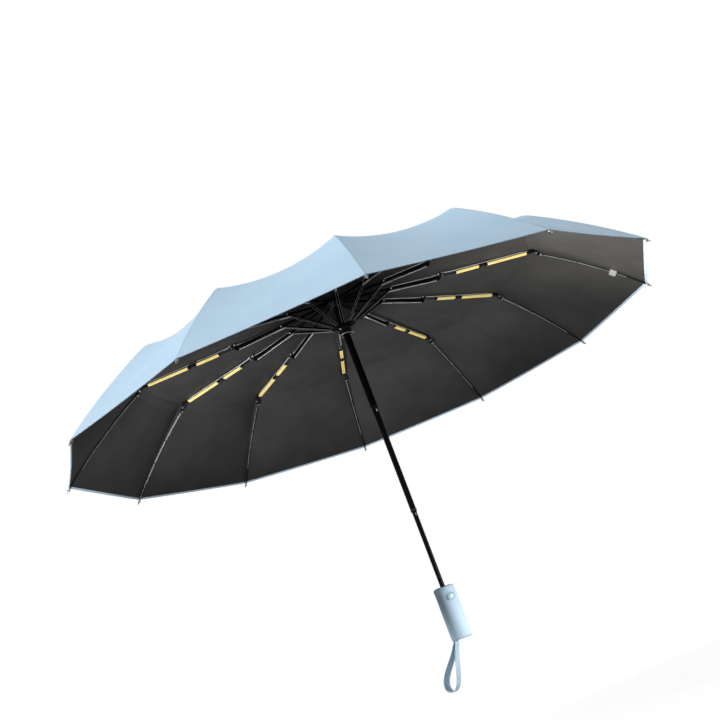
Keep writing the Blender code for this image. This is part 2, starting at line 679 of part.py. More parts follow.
def build_socket():
    """Cup with a lip that holds the bottom tube in the grip."""
    outer = SOCKET_RADIUS - GAP
    bore = BOTTOM_TUBE_RADIUS + GAP
    foot = HANDLE_TOP - SOCKET_DEPTH + GAP
    rim = HANDLE_TOP - SOCKET_LIP
    profile = [(outer, rim), (outer, foot), (0, foot), (0, foot + SOCKET_LIP - GAP)]
    profile += [(bore, foot + SOCKET_LIP - GAP), (bore, rim - SOCKET_LIP), (bore + SOCKET_LIP / 2, rim)]
    profile = profile[3:] + profile[:3]
    finish(turned("handle_socket", profile, TUBE_STEPS), BLACK_PLASTIC)


def build_button():
    rim = HANDLE_RADIUS + BUTTON_PROUD
    foot = HANDLE_RADIUS - BUTTON_FLANGE
    profile = [(0, rim), (BUTTON_RADIUS * 2 / 3, rim - BUTTON_DOME / 4), (BUTTON_RADIUS, rim - BUTTON_DOME)]
    profile += [(BUTTON_RADIUS, foot), (0, foot)]
    button = turned("open_close_button", profile, TUBE_STEPS)
    button.location.z = HANDLE_TOP - BUTTON_DROP
    button.rotation_euler = (0, math.pi / 2, math.radians(BUTTON_AZIMUTH_DEG))
    finish(button, BLUE_GLOSS)


def strap_loop():
    """Middle line of the hanging loop: two legs that leave the stem side by side and spread to the foot."""
    leg = STRAP_THICKNESS / 2 + STRAP_LEG_GAP / 2
    drop = STRAP_LENGTH - STRAP_STEM
    points = [(leg, -STRAP_STEM + STRAP_THICKNESS)]
    for i in range(STRAP_POINTS + 1):
        turn = 2 * math.pi * i / STRAP_POINTS
        fall = (1 - math.cos(turn)) / 2
        bulge = STRAP_BULGE_SHARE * math.sin(turn) * fall ** STRAP_FULLNESS_SHARE
        across = STRAP_SPREAD / 2 * bulge + leg * math.cos(turn / 2)
        points.append((across, -STRAP_STEM - drop * fall))
    return points + [(-leg, -STRAP_STEM + STRAP_THICKNESS)]


def build_strap():
    curve = bpy.data.curves.new("strap_band", "CURVE")
    curve.dimensions = "2D"
    curve.fill_mode = "NONE"
    curve.extrude = STRAP_WIDTH / 2
    spline = curve.splines.new("POLY")
    loop = strap_loop()
    spline.points.add(len(loop) - 1)
    for point, (across, up) in zip(spline.points, loop):
        point.co = (across, up, 0, 1)
    band = add_object("strap_band", curve)
    thick = band.modifiers.new("Thickness", "SOLIDIFY")
    thick.thickness = STRAP_THICKNESS
    thick.offset = 0
    ring = add_object("strap_ring", baked(band))
    ring.data.transform(Matrix.Rotation(math.pi / 2, 4, "X"))

    eye = STRAP_PIN_RADIUS + PIN_CLEARANCE
    outer = eye + STRAP_THICKNESS
    half = STRAP_THICKNESS + STRAP_LEG_GAP / 2 + STRAP_HEM
    stem_outline = arc((0, 0), outer, -30, 210, 8)
    stem_outline += [(-half, -STRAP_STEM), (half, -STRAP_STEM)]
    stem = plate("strap_stem", [stem_outline, circle((0, 0), eye, 8)], STRAP_WIDTH)
    boolean(ring, stem, "UNION")
    strap = add_object("wrist_strap", baked(ring))
    tilt = Matrix.Rotation(math.radians(STRAP_TILT_DEG), 4, "Y")
    strap.matrix_world = strap_frame() @ tilt.inverted()
    finish(strap, BLUE_WEBBING)


# Canopy
def cloth_point(share):
    """Underside of the cloth along a rib, from the crown (0) over the shoulder (1) to the corner (2)."""
    start = Vector((CROWN_RADIUS + GAP, CLOTH_SEAT))
    wire_top = ELBOW_2 + MIDDLE_UP * (LUG_DROP + BAR_HEIGHT / 2 + PULL_WIRE_ROOM + CLOTH_CLEARANCE)
    shoulder = Vector((ELBOW_2.x, wire_top.y))
    if share <= 1:
        return start.lerp(shoulder, share)
    corner, angle = outer_arc(CORNER_SHARE)
    lift = WIRE_RADIUS + CLOTH_CLEARANCE
    corner = corner + lift * Vector((math.sin(angle), math.cos(angle)))
    slope = math.radians(OUTER_SLOPE_DEG)
    corner = ELBOW_2 + Vector((corner.x * math.cos(slope) + corner.y * math.sin(slope),
                               corner.y * math.cos(slope) - corner.x * math.sin(slope)))
    chord = corner - shoulder
    half_turn = math.radians(CLOTH_HALF_TURN_DEG)
    radius = chord.length / (2 * math.sin(half_turn))
    turn = half_turn * (2 * (share - 1) - 1)
    along = chord.length / 2 + radius * math.sin(turn)
    up = radius * (math.cos(turn) - math.cos(half_turn))
    run = chord.normalized()
    return shoulder + run * along + Vector((-run.y, run.x)) * up


def cloth_sag(share):
    """How far the middle of a gore hangs below the straight line between its ribs."""
    if share <= 1:
        return ROOF_SAG * share + (SHOULDER_SAG - ROOF_SAG) * share ** 3
    return SHOULDER_SAG + (RIM_SAG - SHOULDER_SAG) * (share - 1)


def gore_point(share, column):
    """Point of the gore between arm 1 and arm 2; column runs from 0 at one rib to 1 at the next."""
    fall = 4 * column * (1 - column)
    place = cloth_point(share)
    step = cloth_point(max(share - SLOPE_SHARE, 0))
    run = (place - step).normalized() if share > 0 else Vector((1, 0))
    gore = 2 * math.pi / ARM_COUNT
    first = Vector((place.x, 0, place.y))
    second = Vector((place.x * math.cos(gore), place.x * math.sin(gore), place.y))
    sag = cloth_sag(share) * fall
    middle = Vector((math.cos(gore / 2), math.sin(gore / 2)))
    inwards = Vector((run.y * middle.x, run.y * middle.y, -run.x))
    return first.lerp(second, column) + inwards * sag


def canopy_shares():
    roof = [i / ROOF_ROWS for i in range(ROOF_ROWS + 1)]
    return roof + [1 + (i + 1) / SKIRT_ROWS for i in range(SKIRT_ROWS)]


def build_canopy():
    shares = canopy_shares()
    shape = bmesh.new()
    bmesh.ops.create_grid(shape, x_segments=len(shares), y_segments=GORE_COLUMNS, size=1)
    for vert in shape.verts:
        row = round((vert.co.x + 1) / 2 * len(shares))
        column = (vert.co.y + 1) / 2
        if row == 0:
            inner = gore_point(0, column)
            vert.co = inner.xy.resized(3) * (CLOTH_HOLE / inner.xy.length) + Vector((0, 0, inner.z))
        else:
            vert.co = gore_point(shares[row - 1], column)
    gore_mesh = bpy.data.meshes.new("gore")
    shape.to_mesh(gore_mesh)
    shape.free()
    canopy = around_axis("canopy", add_object("gore", gore_mesh))
    shape = bmesh.new()
    shape.from_mesh(canopy.data)
    bmesh.ops.remove_doubles(shape, verts=shape.verts, dist=10 * WELD)
    bmesh.ops.recalc_face_normals(shape, faces=shape.faces)
    if sum(face.normal.z for face in shape.faces) < 0:
        bmesh.ops.reverse_faces(shape, faces=shape.faces)
    shape.to_mesh(canopy.data)
    shape.free()
    thick = canopy.modifiers.new("Thickness", "SOLIDIFY")
    thick.thickness = CLOTH_THICKNESS
    thick.offset = 1
    finish(canopy, BLUE_CLOTH, CLOTH_CREASE_DEG)


def build_band():
    """Elastic band that stands on the cloth beside one rib."""
    share = 1 + BAND_ROW_SHARE
    place = gore_point(share, BAND_COLUMN_SHARE)
    below = gore_point(share + BAND_LEAN_SHARE, BAND_COLUMN_SHARE)
    beside = gore_point(share, BAND_COLUMN_SHARE + BAND_LEAN_SHARE)
    down = (below - place).normalized()
    across = (beside - place).normalized()
    up = down.cross(across).normalized()
    down = across.cross(up)
    outer = BAND_RADIUS
    inner = BAND_RADIUS - BAND_THICKNESS
    half = BAND_WIDTH / 2
    profile = [(outer, half), (outer, -half), (inner, -half), (inner, half)]
    band = turned("closure_strap", profile, BAND_STEPS)
    lift = CLOTH_THICKNESS + BAND_CLEARANCE + BAND_RADIUS
    turn = Matrix((down, up, across)).transposed().to_4x4()
    arm = Matrix.Rotation(2 * math.pi * (BAND_ARM - 1) / ARM_COUNT, 4, "Z")
    band.matrix_world = arm @ Matrix.Translation(place + up * lift) @ turn
    finish(band, BLUE_WEBBING)


build_shaft()
build_crown()
build_cap()
build_runner()
build_handle()
build_socket()
build_button()
build_strap()
build_canopy()
build_band()
build_arms()
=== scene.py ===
"""Looks of an open three-fold umbrella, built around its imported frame.

Metres, +Z up. The shaft stands on Z, the origin is the middle of the grip, and rib 1
points along +X.
"""
import math

import bmesh
import bpy
from mathutils import Matrix, Vector


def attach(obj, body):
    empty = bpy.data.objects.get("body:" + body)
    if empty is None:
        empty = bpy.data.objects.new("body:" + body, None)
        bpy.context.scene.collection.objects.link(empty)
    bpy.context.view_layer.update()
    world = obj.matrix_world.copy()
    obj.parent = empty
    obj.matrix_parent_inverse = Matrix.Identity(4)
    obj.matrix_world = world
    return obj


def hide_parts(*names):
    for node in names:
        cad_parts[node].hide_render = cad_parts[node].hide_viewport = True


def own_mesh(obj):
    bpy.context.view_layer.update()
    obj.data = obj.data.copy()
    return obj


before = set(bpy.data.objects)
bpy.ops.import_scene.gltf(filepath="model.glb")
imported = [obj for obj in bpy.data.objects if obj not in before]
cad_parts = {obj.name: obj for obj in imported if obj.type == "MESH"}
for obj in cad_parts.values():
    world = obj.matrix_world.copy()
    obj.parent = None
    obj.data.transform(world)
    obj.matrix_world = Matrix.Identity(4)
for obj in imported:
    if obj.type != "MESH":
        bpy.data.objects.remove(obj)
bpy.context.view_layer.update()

# Frame sizes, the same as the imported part's
RIB_COUNT = 12
RIBS = [f"{number:02d}" for number in range(1, RIB_COUNT + 1)]
GORE = math.tau / RIB_COUNT
CROWN_HINGE = Vector((0.0115, 0, 0.5567))
RUNNER_HINGE = Vector((0.0115, 0, 0.5084))
ELBOW_1 = Vector((0.186, 0, 0.54251))
ELBOW_2 = Vector((0.3605, 0, 0.520284))
INNER_SLOPE = math.radians(6.45)
STRETCHER_SLOPE = math.radians(-23.2505)
MIDDLE_SLOPE = math.radians(4.26)
OUTER_SLOPE = math.radians(37.0211)
OUTER_CHORD = 0.199771
OUTER_HALF_TURN = math.radians(6.5)
HANDLE_TOP = 0.04225
BUTTON_DROP = 0.018
BUTTON_AZIMUTH = math.radians(-68)

# Cloth: underside along a rib, and how far the middle of a gore hangs in
CLOTH_START_RADIUS = 0.0148
CLOTH_START_HEIGHT = 0.5603
CLOTH_START = Vector((CLOTH_START_RADIUS, CLOTH_START_HEIGHT))
CLOTH_SHOULDER = Vector((0.3605, 0.530954))
CLOTH_CORNER = Vector((0.51926, 0.403592))
CLOTH_HALF_TURN = math.radians(5.0)
CLOTH_THICKNESS = 0.0005
ROOF_SAG = 0.0035
SHOULDER_SAG = 0.0140
RIM_SAG = 0.0015
ROLL_AT_RIB = 0.045
ROLL_IN_GORE = 0.24
SEAM_RISE = 0.0004
SEAM_HALF = 0.0026
SEAM_STITCH_HALF = 0.0009
HEM_WIDTH = 0.0036
HEM_RISE = 0.0004

# Rows and columns of one strip of cloth
INNER_ROWS = 14
MIDDLE_ROWS = 18
OUTER_ROWS = 24
SEAM_COLUMNS = (0.0, 0.0007, 0.0015, 0.0026, 0.0039)
EVEN_COLUMNS = 9

# Wrist strap, closure band and label
STRAP_PIN = (-0.0095, 0, -0.04145)
STRAP_AZIMUTH = math.radians(139.6)
STRAP_TILT = math.radians(-32)
STRAP_TWIST = math.radians(28)
STRAP_WIDTH = 0.0118
BAND_WIDTH = 0.0196
LABEL_WIDTH = 0.0116

# Scales of the wave patterns: 314 puts the waves 1 mm apart
WEAVE_SCALE = 318.0
WARP_SCALE = 420.0
LABEL_SCALE = 400.0
HEM_STITCH_SCALE = 196.0

# Light: the room's own level, and how much of the paper's white is its own for the camera
ROOM_LIGHT = 0.14
PAPER_WHITE = 1.12
PAPER_SHARE = 0.85

SMOOTH_ANGLE = math.radians(38)
EDGE_ANGLE = math.radians(35)


# Colours and materials
def colour(code):
    """Linear colour of an sRGB hex value."""
    channels = [int(code[i:i + 2], 16) / 255 for i in (0, 2, 4)]
    linear = [c / 12.92 if c <= 0.04045 else ((c + 0.055) / 1.055) ** 2.4 for c in channels]
    return (*linear, 1.0)


def add_node(tree, kind, values=None, links=None, stops=(), **settings):
    """Adds a node: values fill its inputs, links join them to other nodes' outputs, and
    stops are the places and colours of a ramp."""
    made = tree.nodes.new(kind)
    for name, value in settings.items():
        setattr(made, name, value)
    for name, value in (values or {}).items():
        made.inputs[name].default_value = value
    for name, source in (links or {}).items():
        tree.links.new(source, made.inputs[name])
    for index, (place, code) in enumerate(stops):
        marks = made.color_ramp.elements
        mark = marks[index] if index < len(marks) else marks.new(place)
        mark.position = place
        mark.color = colour(code)
    return made


def finish_named(name, code, roughness, metallic=0.0, **sockets):
    """A new material with its plain values; the caller adds the surface detail."""
    made = bpy.data.materials.new(name)
    made.use_nodes = True
    shader = made.node_tree.nodes["Principled BSDF"]
    shader.inputs["Base Color"].default_value = colour(code)
    shader.inputs["Roughness"].default_value = roughness
    shader.inputs["Metallic"].default_value = metallic
    for socket, value in sockets.items():
        shader.inputs[socket.replace("_", " ")].default_value = value
    return made, made.node_tree, shader


def cloth_finish(name, code, roughness, waves, relief, operation="MULTIPLY", shade=None,
                 **sockets):
    """A cloth or tape, with the place on it from its own UV map.

    waves are the way, scale and distortion of its rows of raised bands, which the operation
    joins; relief is their strength and depth; shade adds the nodes of the base colour.
    """
    made, tree, shader = finish_named(name, code, roughness, **sockets)
    place = add_node(tree, "ShaderNodeUVMap", uv_map="cloth").outputs["UV"]
    heights = []
    for way, scale, distortion in waves:
        values = {"Scale": scale, "Distortion": distortion}
        bands = add_node(tree, "ShaderNodeTexWave", values, {"Vector": place},
                         wave_type="BANDS", bands_direction=way)
        heights.append(bands.outputs["Fac"])
    height = heights[0]
    if len(heights) == 2:
        height = add_node(tree, "ShaderNodeMath", links=dict(enumerate(heights)),
                          operation=operation).outputs[0]
    if shade:
        tree.links.new(shade(tree, place, height), shader.inputs["Base Color"])
    bump = add_node(tree, "ShaderNodeBump", {"Strength": relief[0], "Distance": relief[1]},
                    {"Height": height})
    tree.links.new(bump.outputs["Normal"], shader.inputs["Normal"])
    return made


def pongee_shade(tree, place, _):
    """Faint fold marks, and a slightly darker line of stitching on the seam."""
    soft = add_node(tree, "ShaderNodeTexNoise", {"Scale": 9.0, "Detail": 3.0},
                    {"Vector": place})
    tint = add_node(tree, "ShaderNodeValToRGB", links={"Fac": soft.outputs["Fac"]},
                    stops=((0.3, "BCDAF1"), (0.7, "C4E0F5")))
    across = add_node(tree, "ShaderNodeSeparateXYZ", links={"Vector": place}).outputs["X"]
    beside = add_node(tree, "ShaderNodeMath", links={0: across}, operation="ABSOLUTE")
    seam = add_node(tree, "ShaderNodeMath", {1: SEAM_STITCH_HALF}, {0: beside.outputs[0]},
                    operation="LESS_THAN")
    return add_node(tree, "ShaderNodeMix", {"B": colour("ACC9E0")},
                    {"Factor": seam.outputs[0], "A": tint.outputs["Color"]},
                    data_type="RGBA").outputs["Result"]


def coating_shade(tree, place, _):
    """Faint roller marks, and painted shade that turns the coating near-black towards the crown."""
    cloudy = add_node(tree, "ShaderNodeTexNoise", {"Scale": 14.0, "Detail": 4.0},
                      {"Vector": place})
    tint = add_node(tree, "ShaderNodeValToRGB", links={"Fac": cloudy.outputs["Fac"]},
                    stops=((0.3, "313131"), (0.7, "3A3A3A")))
    down = add_node(tree, "ShaderNodeSeparateXYZ", links={"Vector": place}).outputs["Y"]
    # Painted shade: near-black within 0.05 m of the crown, fading out by 0.17 m along the cloth
    depth = add_node(tree, "ShaderNodeMapRange", {"From Min": 0.05, "From Max": 0.17},
                     {"Value": down}, interpolation_type="SMOOTHSTEP")
    return add_node(tree, "ShaderNodeMix", {"A": colour("121213")},
                    {"Factor": depth.outputs["Result"], "B": tint.outputs["Color"]},
                    data_type="RGBA").outputs["Result"]


def webbing_shade(tree, _, height):
    """Painted shade: darker in the dips of the weave."""
    return add_node(tree, "ShaderNodeValToRGB", links={"Fac": height},
                    stops=((0.0, "B0CBDC"), (1.0, "C2DAEA"))).outputs["Color"]


def rib_zones(tree, edges):
    """1 between each pair of distances from the shaft's axis, 0 elsewhere."""
    place = add_node(tree, "ShaderNodeTexCoord").outputs["Object"]
    flat = add_node(tree, "ShaderNodeVectorMath", {1: (1, 1, 0)}, {0: place},
                    operation="MULTIPLY")
    distance = add_node(tree, "ShaderNodeVectorMath", links={0: flat.outputs[0]},
                        operation="LENGTH")
    stops = [(0.0, "000000")]
    stops += [(edge, "000000" if index % 2 else "FFFFFF") for index, edge in enumerate(edges)]
    ramp = add_node(tree, "ShaderNodeValToRGB", links={"Fac": distance.outputs["Value"]},
                    stops=stops)
    ramp.color_ramp.interpolation = "CONSTANT"
    return ramp.outputs["Color"]


def grained(name, code, roughness, scale, detail, metallic=0.0, tones=(), zones=(), beyond="",
            gloss=(), relief=(), **sockets):
    """A hard finish under one fine noise, which sets what is given.

    tones are stops of its base colour, shown in the zones along the rib with the colour
    beyond outside them; gloss is its least and most roughness; relief is the strength and
    the depth of its bumps.
    """
    made, tree, shader = finish_named(name, code, roughness, metallic, **sockets)
    place = add_node(tree, "ShaderNodeTexCoord").outputs["Object"]
    noise = add_node(tree, "ShaderNodeTexNoise", {"Scale": scale, "Detail": detail},
                     {"Vector": place}).outputs["Fac"]
    if tones:
        tone = add_node(tree, "ShaderNodeValToRGB", links={"Fac": noise},
                        stops=tones).outputs["Color"]
        if zones:
            tone = add_node(tree, "ShaderNodeMix", {"A": colour(beyond)},
                            {"Factor": rib_zones(tree, zones), "B": tone},
                            data_type="RGBA").outputs["Result"]
        tree.links.new(tone, shader.inputs["Base Color"])
    if gloss:
        span = add_node(tree, "ShaderNodeMapRange", {"To Min": gloss[0], "To Max": gloss[1]},
                        {"Value": noise})
        tree.links.new(span.outputs["Result"], shader.inputs["Roughness"])
    if relief:
        bump = add_node(tree, "ShaderNodeBump", {"Strength": relief[0], "Distance": relief[1]},
                        {"Height": noise})
        tree.links.new(bump.outputs["Normal"], shader.inputs["Normal"])
    return made


# Sky-blue pongee polyester, plain woven and calendered: a soft even sheen over a fine weave,
# which is 0.25 mm in reality and is drawn at 1 mm, so that it shows close up
WEAVE = (("X", WEAVE_SCALE, 0.0), ("Y", WEAVE_SCALE, 0.0))
PONGEE = cloth_finish("pongee_polyester_sky_blue", "C0DDF3", 0.62, WEAVE, (0.12, 0.0002),
                      shade=pongee_shade, Sheen_Weight=0.08, Sheen_Roughness=0.45,
                      Specular_IOR_Level=0.1)

# Black vinyl coating on the cloth's inside: dull charcoal over the same weave, with painted shade
# darkening it towards the crown
COATING = cloth_finish("black_vinyl_coating", "363636", 0.55, WEAVE, (0.06, 0.0002), "ADD",
                       coating_shade, Specular_IOR_Level=0.12)

# Folded hem of the same cloth: a little greyer where it is doubled, stitched every 1.6 mm
HEM_TAPE = cloth_finish("pongee_hem_sky_blue", "B8D0E6", 0.6, (("X", HEM_STITCH_SCALE, 0.0),),
                        (0.3, 0.0003), Sheen_Weight=0.2)

# Blue-grey polyester webbing: matt and corded, with cross ribs 1 mm apart and a finer warp, its
# colour painted darker in the dips as shade
WEBBING = cloth_finish("polyester_webbing_blue_grey", "ABC8DB", 0.78,
                       (("X", WARP_SCALE, 0.5), ("Y", WEAVE_SCALE, 0.0)), (0.25, 0.0003),
                       shade=webbing_shade, Sheen_Weight=0.2)

# White satin-woven label tape: bare and smooth, with faint ribs across, drawn 0.8 mm apart
# because the real ones are too fine to show
LABEL_TAPE = cloth_finish("white_satin_label_tape", "FAFAF8", 0.42, (("Y", LABEL_SCALE, 0.0),),
                          (0.2, 0.0002), Specular_IOR_Level=0.8)

# Black stoving lacquer on drawn steel: satin, with fine marks that break up the highlight
LACQUER = grained("black_lacquered_steel", "060607", 0.30, 260.0, 3.0,
                  gloss=(0.26, 0.42), relief=(0.08, 0.0002), Specular_IOR_Level=0.08)

# Black acetal moulding: satin, with the slight pebble of a spark-eroded mould
MOULDED_BLACK = grained("black_acetal_moulding", "0C0D0E", 0.40, 900.0, 2.0,
                        relief=(0.15, 0.0002), Specular_IOR_Level=0.22)

# Zinc-plated spring wire: dull silver with slight drawing streaks
ZINC_WIRE = grained("zinc_plated_spring_wire", "BABCBD", 0.62, 500.0, 2.0, metallic=0.4,
                    gloss=(0.55, 0.69))

# Black phosphated steel of the outer ribs, with bare steel tips
RIB_WIRE = grained("phosphated_spring_steel", "161718", 0.36, 300.0, 2.0, metallic=0.5,
                   tones=((0.0, "101112"), (1.0, "222324")), zones=(0.1, 0.5190),
                   beyond="8A8C8E")

# Yellow pultruded glass-fibre bars in black acetal ends: satin resin with fine fibres
SPRUNG_BARS = grained("yellow_pultruded_glass_fibre", "FFDC74", 0.38, 700.0, 2.0,
                      tones=((0.3, "FFDE74"), (0.7, "FFF0AC")),
                      zones=(0.2138, 0.2578, 0.2711, 0.3476), beyond="111213",
                      relief=(0.1, 0.0002), Specular_IOR_Level=0.5, Coat_Weight=0.4)

# Light-blue ABS with soft-touch lacquer: even satin body, a very fine orange peel
GRIP_PLASTIC = grained("soft_touch_abs_light_blue", "C6E0F4", 0.46, 650.0, 2.0,
                       relief=(0.06, 0.0002), Specular_IOR_Level=0.06)

# Polished ABS of the button: the same blue with a clear hard highlight
BUTTON_PLASTIC = grained("polished_abs_light_blue", "C4DFF2", 0.30, 120.0, 1.0,
                         relief=(0.02, 0.0003), Specular_IOR_Level=0.4, Coat_Weight=0.15)

# Spun polyester sewing thread: matt and finely twisted
THREAD, THREAD_BLUE = (
    grained(name, code, 0.8, 2400.0, 1.0, relief=(0.3, 0.0002), Sheen_Weight=0.15)
    for name, code in (("black_polyester_thread", "1B1C1D"),
                       ("blue_polyester_thread", "B9D2E4")))

# Polished black acetal on the sliding parts: a clear thin highlight on its rolled edges
GLOSS_BLACK = grained("polished_black_acetal", "0A0B0C", 0.16, 420.0, 2.0,
                      gloss=(0.12, 0.24), Specular_IOR_Level=0.35)

# Painted highlight: dark grey wire with fine scratches, standing in for the light that the black
# lacquer's rolled edges catch
GREY_EDGE = grained("lacquer_edge_painted_highlight", "6E7072", 0.55, 340.0, 2.0, metallic=0.2,
                    tones=((0.0, "505254"), (1.0, "8E9092")))


# Camera, lamps and stage
def new_object(name, data):
    """An object of the data, in the scene."""
    made = bpy.data.objects.new(name, data)
    bpy.context.scene.collection.objects.link(made)
    return made


def build_camera():
    """The photograph's camera, as fitted to its key points."""
    data = bpy.data.cameras.new("photo_camera")
    data.sensor_width = 36.0
    data.lens = 57.471
    data.clip_start = 0.05
    data.clip_end = 100.0
    camera = new_object("photo_camera", data)
    camera.location = (-0.17753, -1.86989, -0.07165)
    camera.rotation_mode = "QUATERNION"
    camera.rotation_quaternion = (0.590078, 0.788174, 0.106025, -0.139095)
    bpy.context.scene.camera = camera


def build_stage():
    """Pale paper under the umbrella: the camera sees it and the room behind it as white,
    with the shadow left on it."""
    bpy.ops.object.select_all(action="DESELECT")
    bpy.ops.mesh.primitive_plane_add(size=60.0, location=(0, 0, -0.22))
    floor = bpy.context.object
    floor.name = "studio_floor"
    made, tree, shader = finish_named("white_studio_paper", "A0A0A0", 0.9,
                                      Specular_IOR_Level=0.1)
    ray = add_node(tree, "ShaderNodeLightPath").outputs
    white = add_node(tree, "ShaderNodeEmission",
                     {"Color": colour("FFFFFF"), "Strength": PAPER_WHITE})
    share = add_node(tree, "ShaderNodeMath", {1: PAPER_SHARE}, {0: ray["Is Camera Ray"]},
                     operation="MULTIPLY")
    mixed = add_node(tree, "ShaderNodeMixShader",
                     links={0: share.outputs[0], 1: shader.outputs["BSDF"],
                            2: white.outputs["Emission"]})
    tree.links.new(mixed.outputs["Shader"], tree.nodes["Material Output"].inputs["Surface"])
    floor.data.materials.append(made)

    world = bpy.data.worlds.new("studio")
    world.use_nodes = True
    tree = world.node_tree
    tree.nodes.clear()
    ray = add_node(tree, "ShaderNodeLightPath").outputs
    seen = add_node(tree, "ShaderNodeMath", operation="MAXIMUM",
                    links={0: ray["Is Camera Ray"], 1: ray["Is Transmission Ray"]})
    shown = add_node(tree, "ShaderNodeMath", operation="MAXIMUM",
                     links={0: seen.outputs[0], 1: ray["Is Glossy Ray"]})
    strength = add_node(tree, "ShaderNodeMapRange", {"To Min": ROOM_LIGHT, "To Max": 1.0},
                        {"Value": shown.outputs[0]})
    backdrop = add_node(tree, "ShaderNodeBackground", {"Color": colour("FFFFFF")},
                        {"Strength": strength.outputs["Result"]})
    add_node(tree, "ShaderNodeOutputWorld", links={"Surface": backdrop.outputs["Background"]})
    bpy.context.scene.world = world


def add_lamp(name, kind, place, aim, power, **settings):
    """Soft lamp at a place, turned to what it lights."""
    data = bpy.data.lights.new(name, kind)
    data.energy = power
    for setting, value in settings.items():
        setattr(data, setting, value)
    lamp = new_object(name, data)
    lamp.location = place
    lamp.rotation_mode = "QUATERNION"
    lamp.rotation_quaternion = (Vector(place) - Vector(aim)).to_track_quat("Z", "Y")
    lamp.visible_camera = False


def build_lamps():
    """Two suns for the whole, and low spots for the grip, the strap and the inside."""
    for name, place, power, spread in (("top_lamp", (0.0, -0.1, 1.3), 0.55, 30),
                                       ("left_lamp", (-0.74, -0.15, 0.99), 2.5, 8)):
        add_lamp(name, "SUN", place, (0, 0, 0.3), power, angle=math.radians(spread))

    white, warm, warmer = (1.0, 1.0, 1.0), (1.0, 0.965, 0.92), (1.0, 0.955, 0.90)
    spots = (("bars_lamp", (-0.85, -0.45, -0.12), (-0.14, 0.19, 0.50), 66.0, 34, 0.8, 0.06, white),
             ("grip_lamp", (0.98, -0.69, 0), (0, 0, -0.03), 63.0, 13, 0.4, 0.10, white),
             ("inside_lamp", (-0.60, -0.85, -0.10), (0.41, 0, 0.46), 60.0, 26, 0.8, 0.10, warm),
             ("strap_lamp", (-0.5, -0.9, -0.15), (-0.035, 0.03, -0.092), 10.0, 5, 0.4, 0.05, white),
             ("right_bars_lamp", (0.75, -0.75, -0.15), (0.20, 0.14, 0.52), 32.0, 22, 0.8, 0.06,
              white),
             ("corner_lamp", (-0.62, 0.72, -0.12), (0.42, -0.19, 0.43), 185.0, 20, 1.0, 0.08,
              warmer))
    for name, place, aim, power, cone, blend, size, tint in spots:
        add_lamp(name, "SPOT", place, aim, power, color=tint, spot_size=math.radians(cone),
                 spot_blend=blend, shadow_soft_size=size)


# Modelling helpers
def begin(name, made):
    """Names the new primitive and gives it its material."""
    piece = bpy.context.object
    piece.name = name
    piece.data.name = name
    piece.data.materials.clear()
    piece.data.materials.append(made)
    return piece


def take_up(piece):
    """Makes the piece the only selected and the active object."""
    bpy.ops.object.select_all(action="DESELECT")
    piece.select_set(True)
    bpy.context.view_layer.objects.active = piece


def settle(piece, place=None):
    """Puts the piece's place into its mesh, so that the object sits at the origin, and
    shades it."""
    bpy.context.view_layer.update()
    piece.data.transform(piece.matrix_world)
    piece.matrix_world = Matrix.Identity(4)
    if place is not None:
        piece.data.transform(place)
    take_up(piece)
    bpy.ops.object.shade_smooth_by_angle(angle=SMOOTH_ANGLE)
    return piece


def copy_of(piece):
    """A copy with its own mesh."""
    return new_object(piece.name, piece.data.copy())


def select_faces(piece, wanted):
    """Enters edit mode with the faces selected that wanted() picks by their normal."""
    bpy.context.view_layer.objects.active = piece
    bpy.ops.object.mode_set(mode="EDIT")
    bpy.ops.mesh.select_mode(type="FACE")
    bpy.ops.mesh.select_all(action="DESELECT")
    live = bmesh.from_edit_mesh(piece.data)
    for face in live.faces:
        face.select_set(wanted(face.normal))
    bmesh.update_edit_mesh(piece.data)


def block(name, made, low, high, rounded, segments=2):
    """A block between two corners, its edges rounded as a mould or a tumbling drum leaves
    them."""
    bpy.ops.object.select_all(action="DESELECT")
    middle = [(a + b) / 2 for a, b in zip(low, high)]
    size = [b - a for a, b in zip(low, high)]
    bpy.ops.mesh.primitive_cube_add(size=1, location=middle)
    piece = begin(name, made)
    bpy.ops.object.mode_set(mode="EDIT")
    bpy.ops.transform.resize(value=size, center_override=middle)
    bpy.ops.object.mode_set(mode="OBJECT")
    bevel = piece.modifiers.new("rounded", "BEVEL")
    bevel.width = rounded
    bevel.segments = segments
    bevel.limit_method = "ANGLE"
    bevel.angle_limit = EDGE_ANGLE
    bpy.ops.object.modifier_apply(modifier=bevel.name)
    return piece


def turned(name, made, rings, sides=40):
    """Turns a closed profile round Z: a circle is extruded and resized from ring to ring,
    then its two ends are joined."""
    bpy.ops.object.select_all(action="DESELECT")
    bpy.ops.mesh.primitive_circle_add(vertices=sides, radius=rings[0][0],
                                      location=(0, 0, rings[0][1]))
    piece = begin(name, made)
    bpy.ops.object.mode_set(mode="EDIT")
    bpy.ops.mesh.select_mode(type="EDGE")
    bpy.ops.mesh.select_all(action="SELECT")
    for (radius, height), (next_radius, next_height) in zip(rings, rings[1:]):
        rise = (0, 0, next_height - height)
        bpy.ops.mesh.extrude_edges_move(TRANSFORM_OT_translate={"value": rise})
        share = next_radius / radius
        bpy.ops.transform.resize(value=(share, share, 1), center_override=(0, 0, next_height))
    bpy.ops.mesh.select_all(action="DESELECT")
    bpy.ops.mesh.select_non_manifold(extend=False, use_wire=False, use_multi_face=False,
                                     use_non_contiguous=False, use_verts=False)
    bpy.ops.mesh.bridge_edge_loops()
    bpy.ops.mesh.select_all(action="SELECT")
    bpy.ops.mesh.normals_make_consistent(inside=False)
    bpy.ops.object.mode_set(mode="OBJECT")
    return piece


